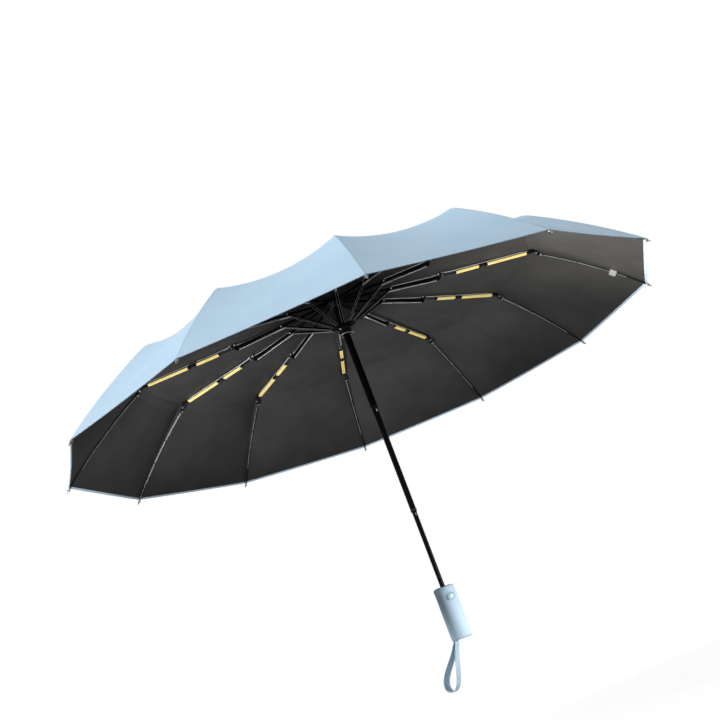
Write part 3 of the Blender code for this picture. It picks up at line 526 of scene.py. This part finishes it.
def wire(name, made, points, radius, ring=False, sides=2):
    """Round wire along a line of points."""
    data = bpy.data.curves.new(name, "CURVE")
    data.dimensions = "3D"
    data.bevel_depth = radius
    data.bevel_resolution = sides
    data.use_fill_caps = True
    spline = data.splines.new("POLY")
    spline.points.add(len(points) - 1)
    spline.use_cyclic_u = ring
    for point, place in zip(spline.points, points):
        point.co = (*place, 1)
    take_up(new_object(name, data))
    bpy.ops.object.convert(target="MESH")
    piece = begin(name, made)
    bpy.ops.object.mode_set(mode="EDIT")
    bpy.ops.mesh.select_all(action="SELECT")
    bpy.ops.mesh.remove_doubles(threshold=0.00001)
    bpy.ops.mesh.normals_make_consistent(inside=False)
    bpy.ops.object.mode_set(mode="OBJECT")
    return piece


def rivet(name, at, radius, half_length):
    """Zinc-plated rivet across a rib, with a low domed head on both sides."""
    bpy.ops.object.select_all(action="DESELECT")
    bpy.ops.mesh.primitive_cylinder_add(vertices=16, radius=radius, depth=2 * half_length,
                                        location=at, rotation=(math.pi / 2, 0, 0))
    piece = begin(name, ZINC_WIRE)
    dome = ((0.35, 0.12), (0.3, 0.04))
    for side in (-1, 1):
        select_faces(piece, lambda normal: normal.z * side > 0.9)
        for inset_share, rise_share in dome:
            bpy.ops.mesh.inset(thickness=radius * inset_share)
            bpy.ops.transform.translate(value=(0, -side * radius * rise_share, 0))
        bpy.ops.object.mode_set(mode="OBJECT")
    return piece


def together(pieces, name):
    """Joins pieces of one material into one object."""
    bpy.ops.object.select_all(action="DESELECT")
    for piece in pieces:
        piece.select_set(True)
    bpy.context.view_layer.objects.active = pieces[0]
    bpy.ops.object.join()
    pieces[0].name = name
    pieces[0].data.name = name
    return pieces[0]


def both_sides(name, made, points, half_gap, radius, sides=2):
    """The same wire twice, half_gap to each side of a rib's middle."""
    legs = []
    for side in (-1, 1):
        line = [(x, side * half_gap + y, z) for x, y, z in points]
        legs.append(wire(name, made, line, radius, sides=sides))
    return together(legs, name)


def shell(name, shape, finishes):
    """An object of a sheet's worked mesh, with its materials."""
    mesh = bpy.data.meshes.new(name)
    shape.to_mesh(mesh)
    shape.free()
    for made in finishes:
        mesh.materials.append(made)
    return new_object(name, mesh)


def rib_frame(hinge, slope):
    """Place of a rib's own frame: x along the rib from its hinge, z up from it."""
    return Matrix.Translation(hinge) @ Matrix.Rotation(slope, 4, "Y")


INNER_RIB = rib_frame(CROWN_HINGE, INNER_SLOPE)
STRETCHER = rib_frame(RUNNER_HINGE, STRETCHER_SLOPE)
MIDDLE_RIB = rib_frame(ELBOW_1, MIDDLE_SLOPE)
OUTER_RIB = rib_frame(ELBOW_2, OUTER_SLOPE)


def copies_round(piece, body, name):
    """Copies a piece of rib 1 to every rib and lets each copy ride on that rib's body."""
    made = [piece] + [copy_of(piece) for _ in RIBS[1:]]
    for index, one in enumerate(made):
        one.data.transform(Matrix.Rotation(GORE * index, 4, "Z"))
        one.name = f"{name}_{RIBS[index]}"
        one.data.name = one.name
        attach(one, f"{body}_{RIBS[index]}")
    return made


# Canopy
def cloth_line(share):
    """Underside of the cloth along a rib: 0 at the crown, 1 at the shoulder, 2 at the tip."""
    if share <= 1:
        return CLOTH_START.lerp(CLOTH_SHOULDER, share)
    chord = CLOTH_CORNER - CLOTH_SHOULDER
    radius = chord.length / (2 * math.sin(CLOTH_HALF_TURN))
    turn = CLOTH_HALF_TURN * (2 * share - 3)
    along = chord.length / 2 + radius * math.sin(turn)
    up = radius * (math.cos(turn) - math.cos(CLOTH_HALF_TURN))
    run = chord.normalized()
    return CLOTH_SHOULDER + run * along + Vector((-run.y, run.x)) * up


def cloth_sag(share):
    """How far the middle of a gore hangs in: most at the shoulder, little at the rim."""
    if share <= 1:
        return ROOF_SAG * share + (SHOULDER_SAG - ROOF_SAG) * share ** 3
    return SHOULDER_SAG + (RIM_SAG - SHOULDER_SAG) * (share - 1)


def sharp_cloth_point(share, column):
    """Point of the cloth beside rib 1, with a sharp shoulder: column runs from 0 on the rib
    to 0.5 in the middle of the gore."""
    place = cloth_line(share)
    run = Vector((1, 0))
    if share > 0:
        run = (place - cloth_line(max(share - 0.01, 0))).normalized()
    first = Vector((place.x, 0, place.y))
    second = Vector((place.x * math.cos(GORE), place.x * math.sin(GORE), place.y))
    sag = cloth_sag(share) * 4 * column * (1 - column)
    middle = Vector((math.cos(GORE / 2), math.sin(GORE / 2)))
    inwards = Vector((run.y * middle.x, run.y * middle.y, -run.x))
    return first.lerp(second, column) + inwards * sag


def cloth_point(share, column):
    """The same with the shoulder rolled over, tight at the ribs and wide in mid-gore."""
    across = abs(column)
    reach = min(ROLL_AT_RIB + ROLL_IN_GORE * across * (1 - across), share, 2 - share)
    beside = sharp_cloth_point(share - reach, across) + sharp_cloth_point(share + reach, across)
    point = beside / 4 + sharp_cloth_point(share, across) / 2
    return Vector((point.x, math.copysign(point.y, column) if column else 0.0, point.z))


def seam_profile(across):
    """How far the felled seam stands out beside the rib line: flat on top, then a ramp."""
    near = max(0.0, 1 - across / (SEAM_HALF * 1.5))
    return SEAM_RISE * min(1.0, near * 2.5)


def cloth_columns(half_width):
    """Places across one half of a strip: close together at the seam, then even."""
    squeeze = min(1.0, half_width * 0.5 / SEAM_COLUMNS[-1])
    places = [column * squeeze for column in SEAM_COLUMNS]
    last = places[-1]
    rest = half_width - last
    return places + [last + rest * (i + 1) / EVEN_COLUMNS for i in range(EVEN_COLUMNS)]


def cloth_shares():
    """Rows along a strip: even to the first elbow, closer at the second, two for the hem."""
    reach = CLOTH_SHOULDER.x - CLOTH_START.x
    elbow_1 = (ELBOW_1.x - CLOTH_START.x) / reach
    elbow_2 = (ELBOW_2.x - CLOTH_START.x) / reach
    hem = 2 - HEM_WIDTH / (CLOTH_CORNER - CLOTH_SHOULDER).length
    inner = [elbow_1 * (i / INNER_ROWS) for i in range(INNER_ROWS + 1)]
    middle = [elbow_1 + (elbow_2 - elbow_1) * (1 - (1 - i / MIDDLE_ROWS) ** 1.5)
              for i in range(1, MIDDLE_ROWS + 1)]
    outer = [elbow_2 + (hem - elbow_2) * (i / OUTER_ROWS) ** 1.25
             for i in range(1, OUTER_ROWS + 1)]
    return inner + middle + outer + [hem + (2 - hem) * 0.12, 2.0]


def cloth_row(share):
    """Points across the strip, and how far each lies from the rib line.

    The last one on each side is the neighbour's, past the middle of the gore, so that
    both strips have the same normals where they meet.
    """
    width = (cloth_point(share, 0.5) - cloth_point(share, 0)).length
    one_side = cloth_columns(width)
    one_side.append(one_side[-1] * 2 - one_side[-2])
    half = len(one_side) - 1
    turn = Matrix.Rotation(GORE / 2, 3, "Z")
    points, offsets = [], []
    for index in range(-half, half + 1):
        across = one_side[abs(index)]
        column = 0.5 * across / width
        if column <= 0.5:
            point = cloth_point(share, math.copysign(column, index) if index else 0.0)
        else:
            mirrored = turn.inverted() @ cloth_point(share, 1 - column)
            mirrored.y = -mirrored.y
            point = turn @ mirrored
            if index < 0:
                point.y = -point.y
        points.append(point)
        offsets.append(math.copysign(across, index))
    return points, offsets


def cloth_normals(grid):
    """Outward normals of the whole strip, so that its panels shade as one cloth."""
    full = bmesh.new()
    rows = [[full.verts.new(place) for place in row] for row in grid]
    for row, following in zip(rows, rows[1:]):
        for c in range(len(row) - 1):
            full.faces.new((row[c], following[c], following[c + 1], row[c + 1]))
    full.normal_update()
    normals = [[vert.normal.copy() for vert in row] for row in rows]
    full.free()
    if sum(normal.z for row in normals for normal in row) < 0:
        normals = [[-normal for normal in row] for row in normals]
    return normals


def cloth_panel(name, grid, normals, spots, first, end):
    """A thin closed panel: blue outside, black inside, and the turned-in hem along the rim."""
    last = len(grid) - 1
    span = range(1, len(grid[0]) - 1)
    rows = range(first, end + 1)
    shape = bmesh.new()
    uv = shape.loops.layers.uv.new("cloth")
    top, under, seats = {}, {}, []
    for r in rows:
        turned_in = HEM_RISE if r >= last - 1 else 0.0
        for c in span:
            point, normal = grid[r][c], normals[r][c]
            ridge = seam_profile(abs(spots[r][c][0]))
            top[r, c] = shape.verts.new(point + normal * (CLOTH_THICKNESS + ridge))
            under[r, c] = shape.verts.new(point - normal * (0.5 * ridge + turned_in))
            seats += [(r, c, 1), (r, c, -1)]
    outside, inside, hem = range(3)
    faces = []
    for r in rows[:-1]:
        lining = hem if r >= last - 2 else inside
        for c in span[:-1]:
            ring = [(r, c), (r + 1, c), (r + 1, c + 1), (r, c + 1)]
            faces.append((shape.faces.new([top[k] for k in ring]), outside))
            faces.append((shape.faces.new([under[k] for k in reversed(ring)]), lining))
    walls = len(faces)
    edge = [(rows[0], c) for c in span] + [(r, span[-1]) for r in rows[1:]]
    edge += [(rows[-1], c) for c in reversed(span[:-1])]
    edge += [(r, span[0]) for r in reversed(rows[1:-1])]
    for k, following in zip(edge, edge[1:] + edge[:1]):
        rim = k[0] == following[0] == last
        wall = shape.faces.new((top[k], top[following], under[following], under[k]))
        faces.append((wall, hem if rim else outside))
    shape.verts.index_update()
    for face, slot in faces:
        face.material_index = slot
        face.smooth = True
        for loop in face.loops:
            r, c, _ = seats[loop.vert.index]
            loop[uv].uv = spots[r][c]
    shape.normal_update()
    panel = shell(name, shape, (PONGEE, COATING, HEM_TAPE))
    mesh = panel.data
    loop_normals = [None] * len(mesh.loops)
    for polygon in mesh.polygons:
        for loop in polygon.loop_indices:
            r, c, side = seats[mesh.loops[loop].vertex_index]
            flat = polygon.index >= walls
            loop_normals[loop] = polygon.normal.copy() if flat else normals[r][c] * side
    mesh.normals_split_custom_set(loop_normals)
    return panel


def build_cloth():
    """One strip of cloth over rib 1, cut into three panels at the rib's two elbows."""
    grid, spots = [], []
    along, before = 0.0, cloth_line(0)
    for share in cloth_shares():
        line = cloth_line(share)
        along += (line - before).length
        before = line
        points, offsets = cloth_row(share)
        grid.append(points)
        spots.append([(offset, along) for offset in offsets])
    normals = cloth_normals(grid)
    cuts = (0, INNER_ROWS, INNER_ROWS + MIDDLE_ROWS, len(grid) - 1)
    return {part: cloth_panel(f"cloth_{part}", grid, normals, spots, first, end)
            for part, first, end in zip(("inner", "middle", "outer"), cuts, cuts[1:])}


def dress_canopy():
    """Panels on every rib; each rides on its rib's body."""
    for part, panel in build_cloth().items():
        for index, one in enumerate(copies_round(panel, f"{part}_rib", f"cloth_{part}")):
            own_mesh(one)
            if part == "inner" and index == 0:
                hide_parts("canopy")


# Rib fittings
def build_spring_wire():
    """Hairpin of spring wire under the inner rib, from the stretcher's seat to the heel,
    with a short coil spring and an eye at the seat."""
    near, far = Vector((0.0822, 0, -0.0047)), Vector((0.1692, 0, -0.0049))
    half, bend_steps = 0.00062, 6
    hairpin = []
    for end, turn in ((near, math.pi), (far, 0.0)):
        for i in range(bend_steps + 1):
            angle = turn - math.pi / 2 + math.pi * i / bend_steps
            hairpin.append(end + Vector((half * math.cos(angle), half * math.sin(angle), 0)))
    start, turns, pitch, steps, radius = 0.0850, 24, 0.00085, 9, 0.00105
    coil = []
    for i in range(turns * steps + 1):
        angle = math.tau * i / steps
        coil.append((start + pitch * i / steps, radius * math.cos(angle),
                     near.z + radius * math.sin(angle)))
    eye_radius, eye_lift, eye_steps = 0.0011, 0.0013, 12
    eye = []
    for i in range(eye_steps):
        angle = math.tau * i / eye_steps
        eye.append(near + Vector((eye_radius * math.cos(angle), 0.0,
                                  eye_radius * math.sin(angle) + eye_lift)))
    pieces = [wire("spring_wire", ZINC_WIRE, hairpin, 0.00032, ring=True),
              wire("spring_coil", ZINC_WIRE, coil, 0.00028, sides=1),
              wire("spring_eye", ZINC_WIRE, eye, 0.00035, ring=True)]
    return settle(together(pieces, "spring_wire"), INNER_RIB)


def build_rib_wires():
    """Pull wire above the inner rib: hooked to the stretcher's seat, it runs up to the post
    of the first elbow."""
    points = [(0.0905, -0.0004, 0.0012), (0.0918, -0.0010, 0.0030), (0.0945, -0.0012, 0.0034),
              (0.1600, -0.0012, 0.0038), (0.1680, -0.0008, 0.0048), (0.1715, -0.0004, 0.0050)]
    return settle(both_sides("rib_wires", ZINC_WIRE, points, 0.0005, 0.00028), INNER_RIB)


def build_pull_wire():
    """Its second length above the sprung bars, from the knuckle to the end lug."""
    points = [(0.0030, 0, 0.0024), (0.0075, 0, 0.0016), (0.0130, 0, 0.0004),
              (0.0240, 0, 0.0000), (0.1500, 0, -0.0004), (0.1610, 0, -0.0016),
              (0.1670, 0, -0.0033), (0.1725, 0, -0.0036)]
    return settle(both_sides("pull_wire", ZINC_WIRE, points, 0.0008, 0.00038), MIDDLE_RIB)


def build_stretcher_edges():
    """Grey wires along the rolled edges of the stretcher's two strips: a painted highlight where
    the lacquer catches the light.
    """
    points = [(0.0090, 0, -0.00150), (0.0120, 0, -0.00172), (0.0900, 0, -0.00172),
              (0.0930, 0, -0.00150)]
    edges = both_sides("stretcher_edge", GREY_EDGE, points, 0.00205, 0.00030, sides=1)
    return settle(edges, STRETCHER)


def sleeve(start, end, half_width, low, high, rounded):
    """Crimped sleeve round the bars: a block with a waist pressed in at its middle."""
    piece = block("sleeve", MOULDED_BLACK, (start, -half_width, low), (end, half_width, high),
                  rounded)
    select_faces(piece, lambda normal: abs(normal.y) > 0.9 or normal.z < -0.9)
    bpy.ops.mesh.inset(thickness=(end - start) * 0.16)
    bpy.ops.mesh.extrude_region_move(TRANSFORM_OT_translate={"value": (0, 0, 0)})
    middle = (start + end) / 2
    bpy.ops.transform.resize(value=(0.9, 0.94, 1.0), center_override=(middle, 0, 0))
    bpy.ops.object.mode_set(mode="OBJECT")
    return piece


def build_bar_fittings():
    """End sleeves of the bars, the post at their end and the two bands of the clip between
    them."""
    under, top = -0.0067, -0.0032
    pieces = [sleeve(0.0268, 0.0312, 0.0031, under, top, 0.0004),
              sleeve(0.1594, 0.1640, 0.0031, under, top, 0.0004),
              block("end_post", MOULDED_BLACK, (0.1632, -0.0021, -0.0066),
                    (0.1738, 0.0021, -0.0010), 0.0008, 3)]
    for start in (0.0722, 0.0815):
        pieces.append(sleeve(start, start + 0.0044, 0.0036, -0.0074, -0.0026, 0.0005))
    return settle(together(pieces, "bar_fittings"), MIDDLE_RIB)


def build_elbow_ring():
    """Ring of wire that ties the cloth's seam to the second elbow."""
    steps, half_width, half_height = 14, 0.0027, 0.0024
    points = []
    for i in range(steps):
        turn = math.tau * i / steps
        points.append((0.0076 + 0.0006 * math.sin(2 * turn), half_width * math.cos(turn),
                       half_height * math.sin(turn) - 0.0001))
    return wire("elbow_ring", ZINC_WIRE, points, 0.0003, ring=True)


def rib_arc(share):
    """Point, run and upward direction of the bowed outer rib in its own frame: 0 at the
    elbow, 1 at the tip."""
    radius = OUTER_CHORD / (2 * math.sin(OUTER_HALF_TURN))
    angle = OUTER_HALF_TURN * (2 * share - 1)
    point = Vector((OUTER_CHORD / 2 + radius * math.sin(angle), 0,
                    radius * (math.cos(angle) - math.cos(OUTER_HALF_TURN))))
    run = Vector((math.cos(angle), 0, -math.sin(angle)))
    return point, run, Vector((math.sin(angle), 0, math.cos(angle)))


def build_rib_painted_highlight():
    """Silver wire along one side of the outer rib, stopping short of the tip: a painted highlight
    where the rib catches the light.
    """
    steps, start, reach, drop = 14, 0.06, 0.74, 0.00106
    points = []
    for i in range(steps + 1):
        point, _, up = rib_arc(start + reach * i / steps)
        points.append(point - up * drop + Vector((0, -0.0004, 0)))
    return settle(wire("rib_painted_highlight", ZINC_WIRE, points, 0.00038, sides=1), OUTER_RIB)


def build_ties():
    """Thread ties that hold the cloth to the outer rib: three turns of thread each."""
    steps, turns, pitch, half_width, half_height = 12, 3, 0.0006, 0.00165, 0.0018
    ties = []
    for share in (0.36, 0.60):
        point, run, up = rib_arc(share)
        line = []
        for i in range(steps * turns + 1):
            turn = math.tau * i / steps
            around = Vector((0, math.cos(turn), 0)) * half_width
            around += up * (half_height * math.sin(turn) + 0.0002)
            line.append(point + around + run * (pitch * i / steps - pitch * turns / 2))
        ties.append(wire("rib_tie", THREAD, line, 0.00028, sides=1))
    return settle(together(ties, "rib_tie"), OUTER_RIB)


def build_tip_cup():
    """Turned cup behind the tip bead, where the corner of the cloth is sewn on."""
    rings = [(0.00150, -0.0052), (0.00195, -0.0046), (0.00205, -0.0024), (0.00262, -0.0012),
             (0.00262, -0.0004), (0.00150, -0.0004)]
    cup = turned("tip_cup", ZINC_WIRE, rings, sides=16)
    at_tip = Matrix.Translation((OUTER_CHORD, 0, 0))
    return settle(cup, OUTER_RIB @ at_tip @ Matrix.Rotation(math.pi / 2 + OUTER_HALF_TURN, 4, "Y"))


def dress_ribs():
    """Wires, fittings, rivets, ties and cups, made for rib 1 and copied to every rib."""
    copies_round(build_spring_wire(), "inner_rib", "spring_wire")
    copies_round(build_rib_wires(), "inner_rib", "rib_wires")
    copies_round(build_pull_wire(), "middle_rib", "pull_wire")
    copies_round(build_bar_fittings(), "middle_rib", "bar_fittings")
    seat = rivet("seat_rivet", (0.0968668, 0, 0), 0.0013, 0.00252)
    copies_round(settle(seat, STRETCHER), "stretcher", "seat_rivet")
    # Painted highlight wires along the stretchers' edges
    copies_round(build_stretcher_edges(), "stretcher", "stretcher_edge")
    elbow = rivet("elbow_1_rivet", (0, 0, 0), 0.0015, 0.00262)
    heel = rivet("heel_rivet", (0.0066, 0, -0.0038), 0.0010, 0.00262)
    rivets = together([elbow, heel], "elbow_1_rivets")
    copies_round(settle(rivets, MIDDLE_RIB), "middle_rib", "elbow_1_rivets")
    pivot = rivet("elbow_2_rivet", (0, 0, 0), 0.0013, 0.00262)
    fork = rivet("fork_rivet", (0.0086, 0, 0), 0.0008, 0.00252)
    rivets = together([pivot, fork, build_elbow_ring()], "elbow_2_rivets")
    rivets.data.transform(Matrix.Rotation(-OUTER_HALF_TURN, 4, "Y"))
    copies_round(settle(rivets, OUTER_RIB), "outer_rib", "elbow_2_rivets")
    copies_round(build_ties(), "outer_rib", "rib_tie")
    # Painted highlight wire along each outer rib
    copies_round(build_rib_painted_highlight(), "outer_rib", "rib_painted_highlight")
    copies_round(build_tip_cup(), "outer_rib", "tip_cup")


# Shaft, runner, crown and grip
def fit_ring(name, made, body, rings, sides=40, place=None):
    """A turned ring that rides on a body."""
    ring = settle(turned(name, made, rings, sides), place)
    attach(ring, body)
    return ring


def dress_shaft():
    """Rolled flange, lip and band of the runner with a bright zinc ring on the flange's edge as a
    painted highlight, the rings and catches of the tubes, and the collar, cloth disc and cap ring
    of the crown."""
    fit_ring("runner_flange", GLOSS_BLACK, "runner",
             [(0.0066, 0.4972), (0.0117, 0.4972), (0.0124, 0.4966), (0.0127, 0.4957),
              (0.0124, 0.4949), (0.0115, 0.4944), (0.0090, 0.4936), (0.0066, 0.4936)])
    # Painted highlight: a bright zinc ring where the black flange's edge catches the light
    fit_ring("runner_rim_painted_highlight", ZINC_WIRE, "runner",
             [(0.0122, 0.4951), (0.0128, 0.4951), (0.0131, 0.4947), (0.0128, 0.4943),
              (0.0122, 0.4943)], sides=56)
    fit_ring("runner_lip", GLOSS_BLACK, "runner",
             [(0.0090, 0.5006), (0.0104, 0.5006), (0.0108, 0.5000), (0.0104, 0.4994),
              (0.0090, 0.4994)])
    fit_ring("runner_band", GLOSS_BLACK, "runner",
             [(0.0132, 0.5052), (0.0142, 0.5050), (0.0145, 0.5044), (0.0142, 0.5038),
              (0.0132, 0.5036)])
    for body, radius, foot, azimuth in (("top_tube", 0.0060, 0.356, -160),
                                        ("middle_tube", 0.0050, 0.171, -168)):
        fit_ring(f"{body}_ring", GLOSS_BLACK, body,
                 [(radius - 0.0001, foot + 0.0060), (radius + 0.0003, foot + 0.0056),
                  (radius + 0.0004, foot + 0.0030), (radius + 0.0003, foot + 0.0018),
                  (radius - 0.0001, foot + 0.0014)])
        catch = block(f"{body}_catch", ZINC_WIRE, (-0.0011, radius - 0.0009, foot - 0.0062),
                      (0.0011, radius + 0.0004, foot - 0.0014), 0.0004, 3)
        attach(settle(catch, Matrix.Rotation(math.radians(azimuth), 4, "Z")), body)
    fit_ring("crown_collar", MOULDED_BLACK, "top_tube",
             [(0.0064, 0.5505), (0.0098, 0.5505), (0.0104, 0.5499), (0.0098, 0.5484),
              (0.0078, 0.5474), (0.0064, 0.5474)])
    hole, rim, low = 0.0042, CLOTH_START_RADIUS, CLOTH_START_HEIGHT
    high = low + CLOTH_THICKNESS
    disc = fit_ring("crown_cloth", PONGEE, "top_tube",
                    [(hole, low), (rim, low), (rim, high), (hole, high)])
    fit_ring("cap_ring", GLOSS_BLACK, "top_tube",
             [(0.0116, 0.5655), (0.0134, 0.5652), (0.0138, 0.5646), (0.0134, 0.5640),
              (0.0116, 0.5640)])


def dress_grip():
    """Plate and foot ring of the grip, the bezel round the button and the ring on it."""
    top = HANDLE_TOP
    fit_ring("grip_top_plate", MOULDED_BLACK, "grip",
             [(0.0086, top - 0.0006), (0.0086, top + 0.0004), (0.0092, top + 0.0007),
              (0.0136, top + 0.0007), (0.0142, top + 0.0003), (0.0142, top - 0.0003),
              (0.0130, top - 0.0006)], sides=48)
    fit_ring("grip_foot_ring", GRIP_PLASTIC, "grip",
             [(0.01695, -0.0376), (0.01715, -0.0379), (0.01715, -0.0384), (0.01695, -0.0387)],
             sides=64)
    aim = Matrix.Rotation(BUTTON_AZIMUTH, 4, "Z") @ Matrix.Rotation(math.pi / 2, 4, "Y")
    place = Matrix.Translation((0, 0, top - BUTTON_DROP)) @ aim
    fit_ring("button_bezel", GRIP_PLASTIC, "grip",
             [(0.0059, 0.0150), (0.0059, 0.0172), (0.0063, 0.0174), (0.0072, 0.0171),
              (0.0078, 0.0160), (0.0078, 0.0150)], place=place)
    fit_ring("button_ring", BUTTON_PLASTIC, "button",
             [(0.0026, 0.0178), (0.0030, 0.0184), (0.0036, 0.0184), (0.0041, 0.0177)],
             sides=32, place=place)


# Wrist strap, closure band and label
def ribbon(name, made, line, side, width, thickness, twist=0.0):
    """Woven ribbon along a line: a thin closed shell with firmer selvedges and its own UV
    map.

    The twist is the angle by which the ribbon turns out of its plane, low on its first leg.
    """
    across = [-0.5, -0.47, -0.38, -0.15, 0.15, 0.38, 0.47, 0.5]
    swell = [0.45, 1.15, 1.0, 0.95, 0.95, 1.0, 1.15, 0.45]
    columns = [(share, much, 1) for share, much in zip(across, swell)]
    columns += [(share, much, -1) for share, much, _ in reversed(columns)]
    shape = bmesh.new()
    uv = shape.loops.layers.uv.new("cloth")
    rows, along, last = [], 0.0, len(line) - 1
    for i, point in enumerate(line):
        if i:
            along += (point - line[i - 1]).length
        run = (line[min(i + 1, last)] - line[max(i - 1, 0)]).normalized()
        lean = math.sin(math.pi * min(1.0, 2.0 * i / last) ** 2)
        wide = Matrix.Rotation(twist * lean, 3, run) @ side
        out = wide.cross(run).normalized()
        row = []
        for share, much, face_side in columns:
            raised = out * (thickness / 2 * much * face_side)
            vert = shape.verts.new(point + wide * width * share + raised)
            row.append((vert, (share * width, along)))
        rows.append(row)
    rings = []
    for first, second in zip(rows, rows[1:]):
        for c in range(len(columns)):
            following = (c + 1) % len(columns)
            rings.append((first[c], first[following], second[following], second[c]))
    for ring in rings + [rows[0], rows[-1]]:
        face = shape.faces.new([vert for vert, _ in ring])
        for loop, (_, spot) in zip(face.loops, ring):
            loop[uv].uv = spot
    bmesh.ops.recalc_face_normals(shape, faces=shape.faces)
    return settle(shell(name, shape, (made,))), along


def stitches(name, made, places):
    """Thread stitches, each at a place with its run and its outward direction: one is
    modelled and the others are copies of it."""
    half = Vector((0.0009, 0.0003, 0.0002))
    first = settle(block(name, made, -half, half, 0.00015, 1))
    pieces = [first] + [copy_of(first) for _ in places[1:]]
    for piece, (place, run, out) in zip(pieces, places):
        turn = Matrix((run, out.cross(run), out)).transposed().to_4x4()
        piece.data.transform(Matrix.Translation(place) @ turn)
    return together(pieces, name)


def strap_line():
    """Middle line of the wrist loop in its own frame: down one leg, round the foot and up
    the other."""
    leg, stem, drop, half_width, steps = 0.0019, 0.008, 0.076, 0.01275, 48
    points = [Vector((0.0009, 0, -0.0020)), Vector((0.0014, 0, -0.0044))]
    for i in range(steps + 1):
        turn = math.tau * i / steps
        fall = (1 - math.cos(turn)) / 2
        bulge = 1.35 * math.sin(turn) * fall ** 1.35
        points.append(Vector((half_width * bulge + leg * math.cos(turn / 2), 0,
                              -stem - drop * fall)))
    return points + [Vector((-0.0014, 0, -0.0044)), Vector((-0.0009, 0, -0.0020))]


def dress_wrist_strap():
    """Woven loop in the pocket of the grip, its legs held by eight stitches each."""
    place = Matrix.Translation(STRAP_PIN) @ Matrix.Rotation(STRAP_AZIMUTH, 4, "Z")
    place = place @ Matrix.Rotation(STRAP_TILT, 4, "Y")
    turn = place.to_3x3()
    line = [place @ point for point in strap_line()]
    strap, length = ribbon("wrist_ribbon", WEBBING, line, turn @ Vector((0, 1, 0)),
                           STRAP_WIDTH, 0.00095, STRAP_TWIST)
    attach(strap, "wrist_strap")
    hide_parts("wrist_strap")
    places = []
    for side in (1, -1):
        for edge in (-0.0042, 0.0042):
            for i in range(4):
                spot = Vector((side * (0.0020 + 0.0001 * i), edge, -0.0046 - 0.0024 * i))
                places.append((place @ spot, turn @ Vector((0, 0, 1)),
                               turn @ Vector((side, 0, 0))))
    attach(stitches("strap_stitches", THREAD_BLUE, places), "wrist_strap")


def dress_closure_band():
    """Open loop of webbing that stands on the canopy beside rib 4, its end lapped over."""
    turn = Matrix(((-0.1939, -0.2718, -0.9426), (0.7359, 0.5951, -0.3230),
                   (-0.6488, 0.7563, -0.0847)))
    centre = Vector((-0.01918, 0.45707, 0.48698))
    steps, lap_steps, tuck_steps = 60, 10, 6
    line = []
    for i in range(steps + 1):
        angle = math.radians(-112 + 404 * i / steps)
        lap = 0.0009 * max(0.0, (i - steps + lap_steps) / lap_steps)
        tuck = 0.0004 * max(0.0, (tuck_steps - i) / tuck_steps)
        radius = 0.0241 + lap - tuck
        spot = Vector((radius * math.cos(angle), radius * math.sin(angle), 0))
        line.append(centre + turn @ spot)
    band, length = ribbon("closure_ribbon", WEBBING, line, turn @ Vector((0, 0, 1)),
                          BAND_WIDTH, 0.0009)
    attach(band, "outer_rib_04")
    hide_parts("closure_strap")


def dress_care_label():
    """Blank woven label sewn to the seam at rib 1, hanging in front of the rib."""
    steps = 8
    line = []
    for i in range(steps + 1):
        fall = i / steps
        spot = Vector((0.1362 - 0.0010 * fall, -0.0024 - 0.0016 * fall ** 2,
                       0.0077 - 0.0112 * fall))
        line.append(OUTER_RIB @ spot)
    side = OUTER_RIB.to_3x3() @ Vector((1, 0, 0))
    label, length = ribbon("care_label", LABEL_TAPE, line, side, LABEL_WIDTH, 0.0003)
    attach(label, "outer_rib_01")


# Frame parts that keep their solids
NODE_FINISHES = {
    "inner_rib": LACQUER, "stretcher": LACQUER, "top_tube": LACQUER, "middle_tube": LACQUER,
    "bottom_tube": LACQUER, "outer_rib": RIB_WIRE, "middle_rib": SPRUNG_BARS,
    "crown": MOULDED_BLACK, "runner": MOULDED_BLACK, "top_cap": MOULDED_BLACK,
    "handle_socket": MOULDED_BLACK, "handle": GRIP_PLASTIC,
    "open_close_button": BUTTON_PLASTIC, "wrist_strap": WEBBING, "closure_strap": WEBBING,
}


def dress_nodes():
    """Gives each node its finish; a rib's node is known by its name without its number."""
    for name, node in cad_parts.items():
        made = NODE_FINISHES.get(name.rstrip("_0123456789"))
        if made:
            node.data.materials.clear()
            node.data.materials.append(made)


build_camera()
build_stage()
build_lamps()
dress_nodes()
dress_canopy()
dress_ribs()
dress_shaft()
dress_grip()
dress_wrist_strap()
dress_closure_band()
dress_care_label()
bpy.context.scene.view_settings.view_transform = "Standard"
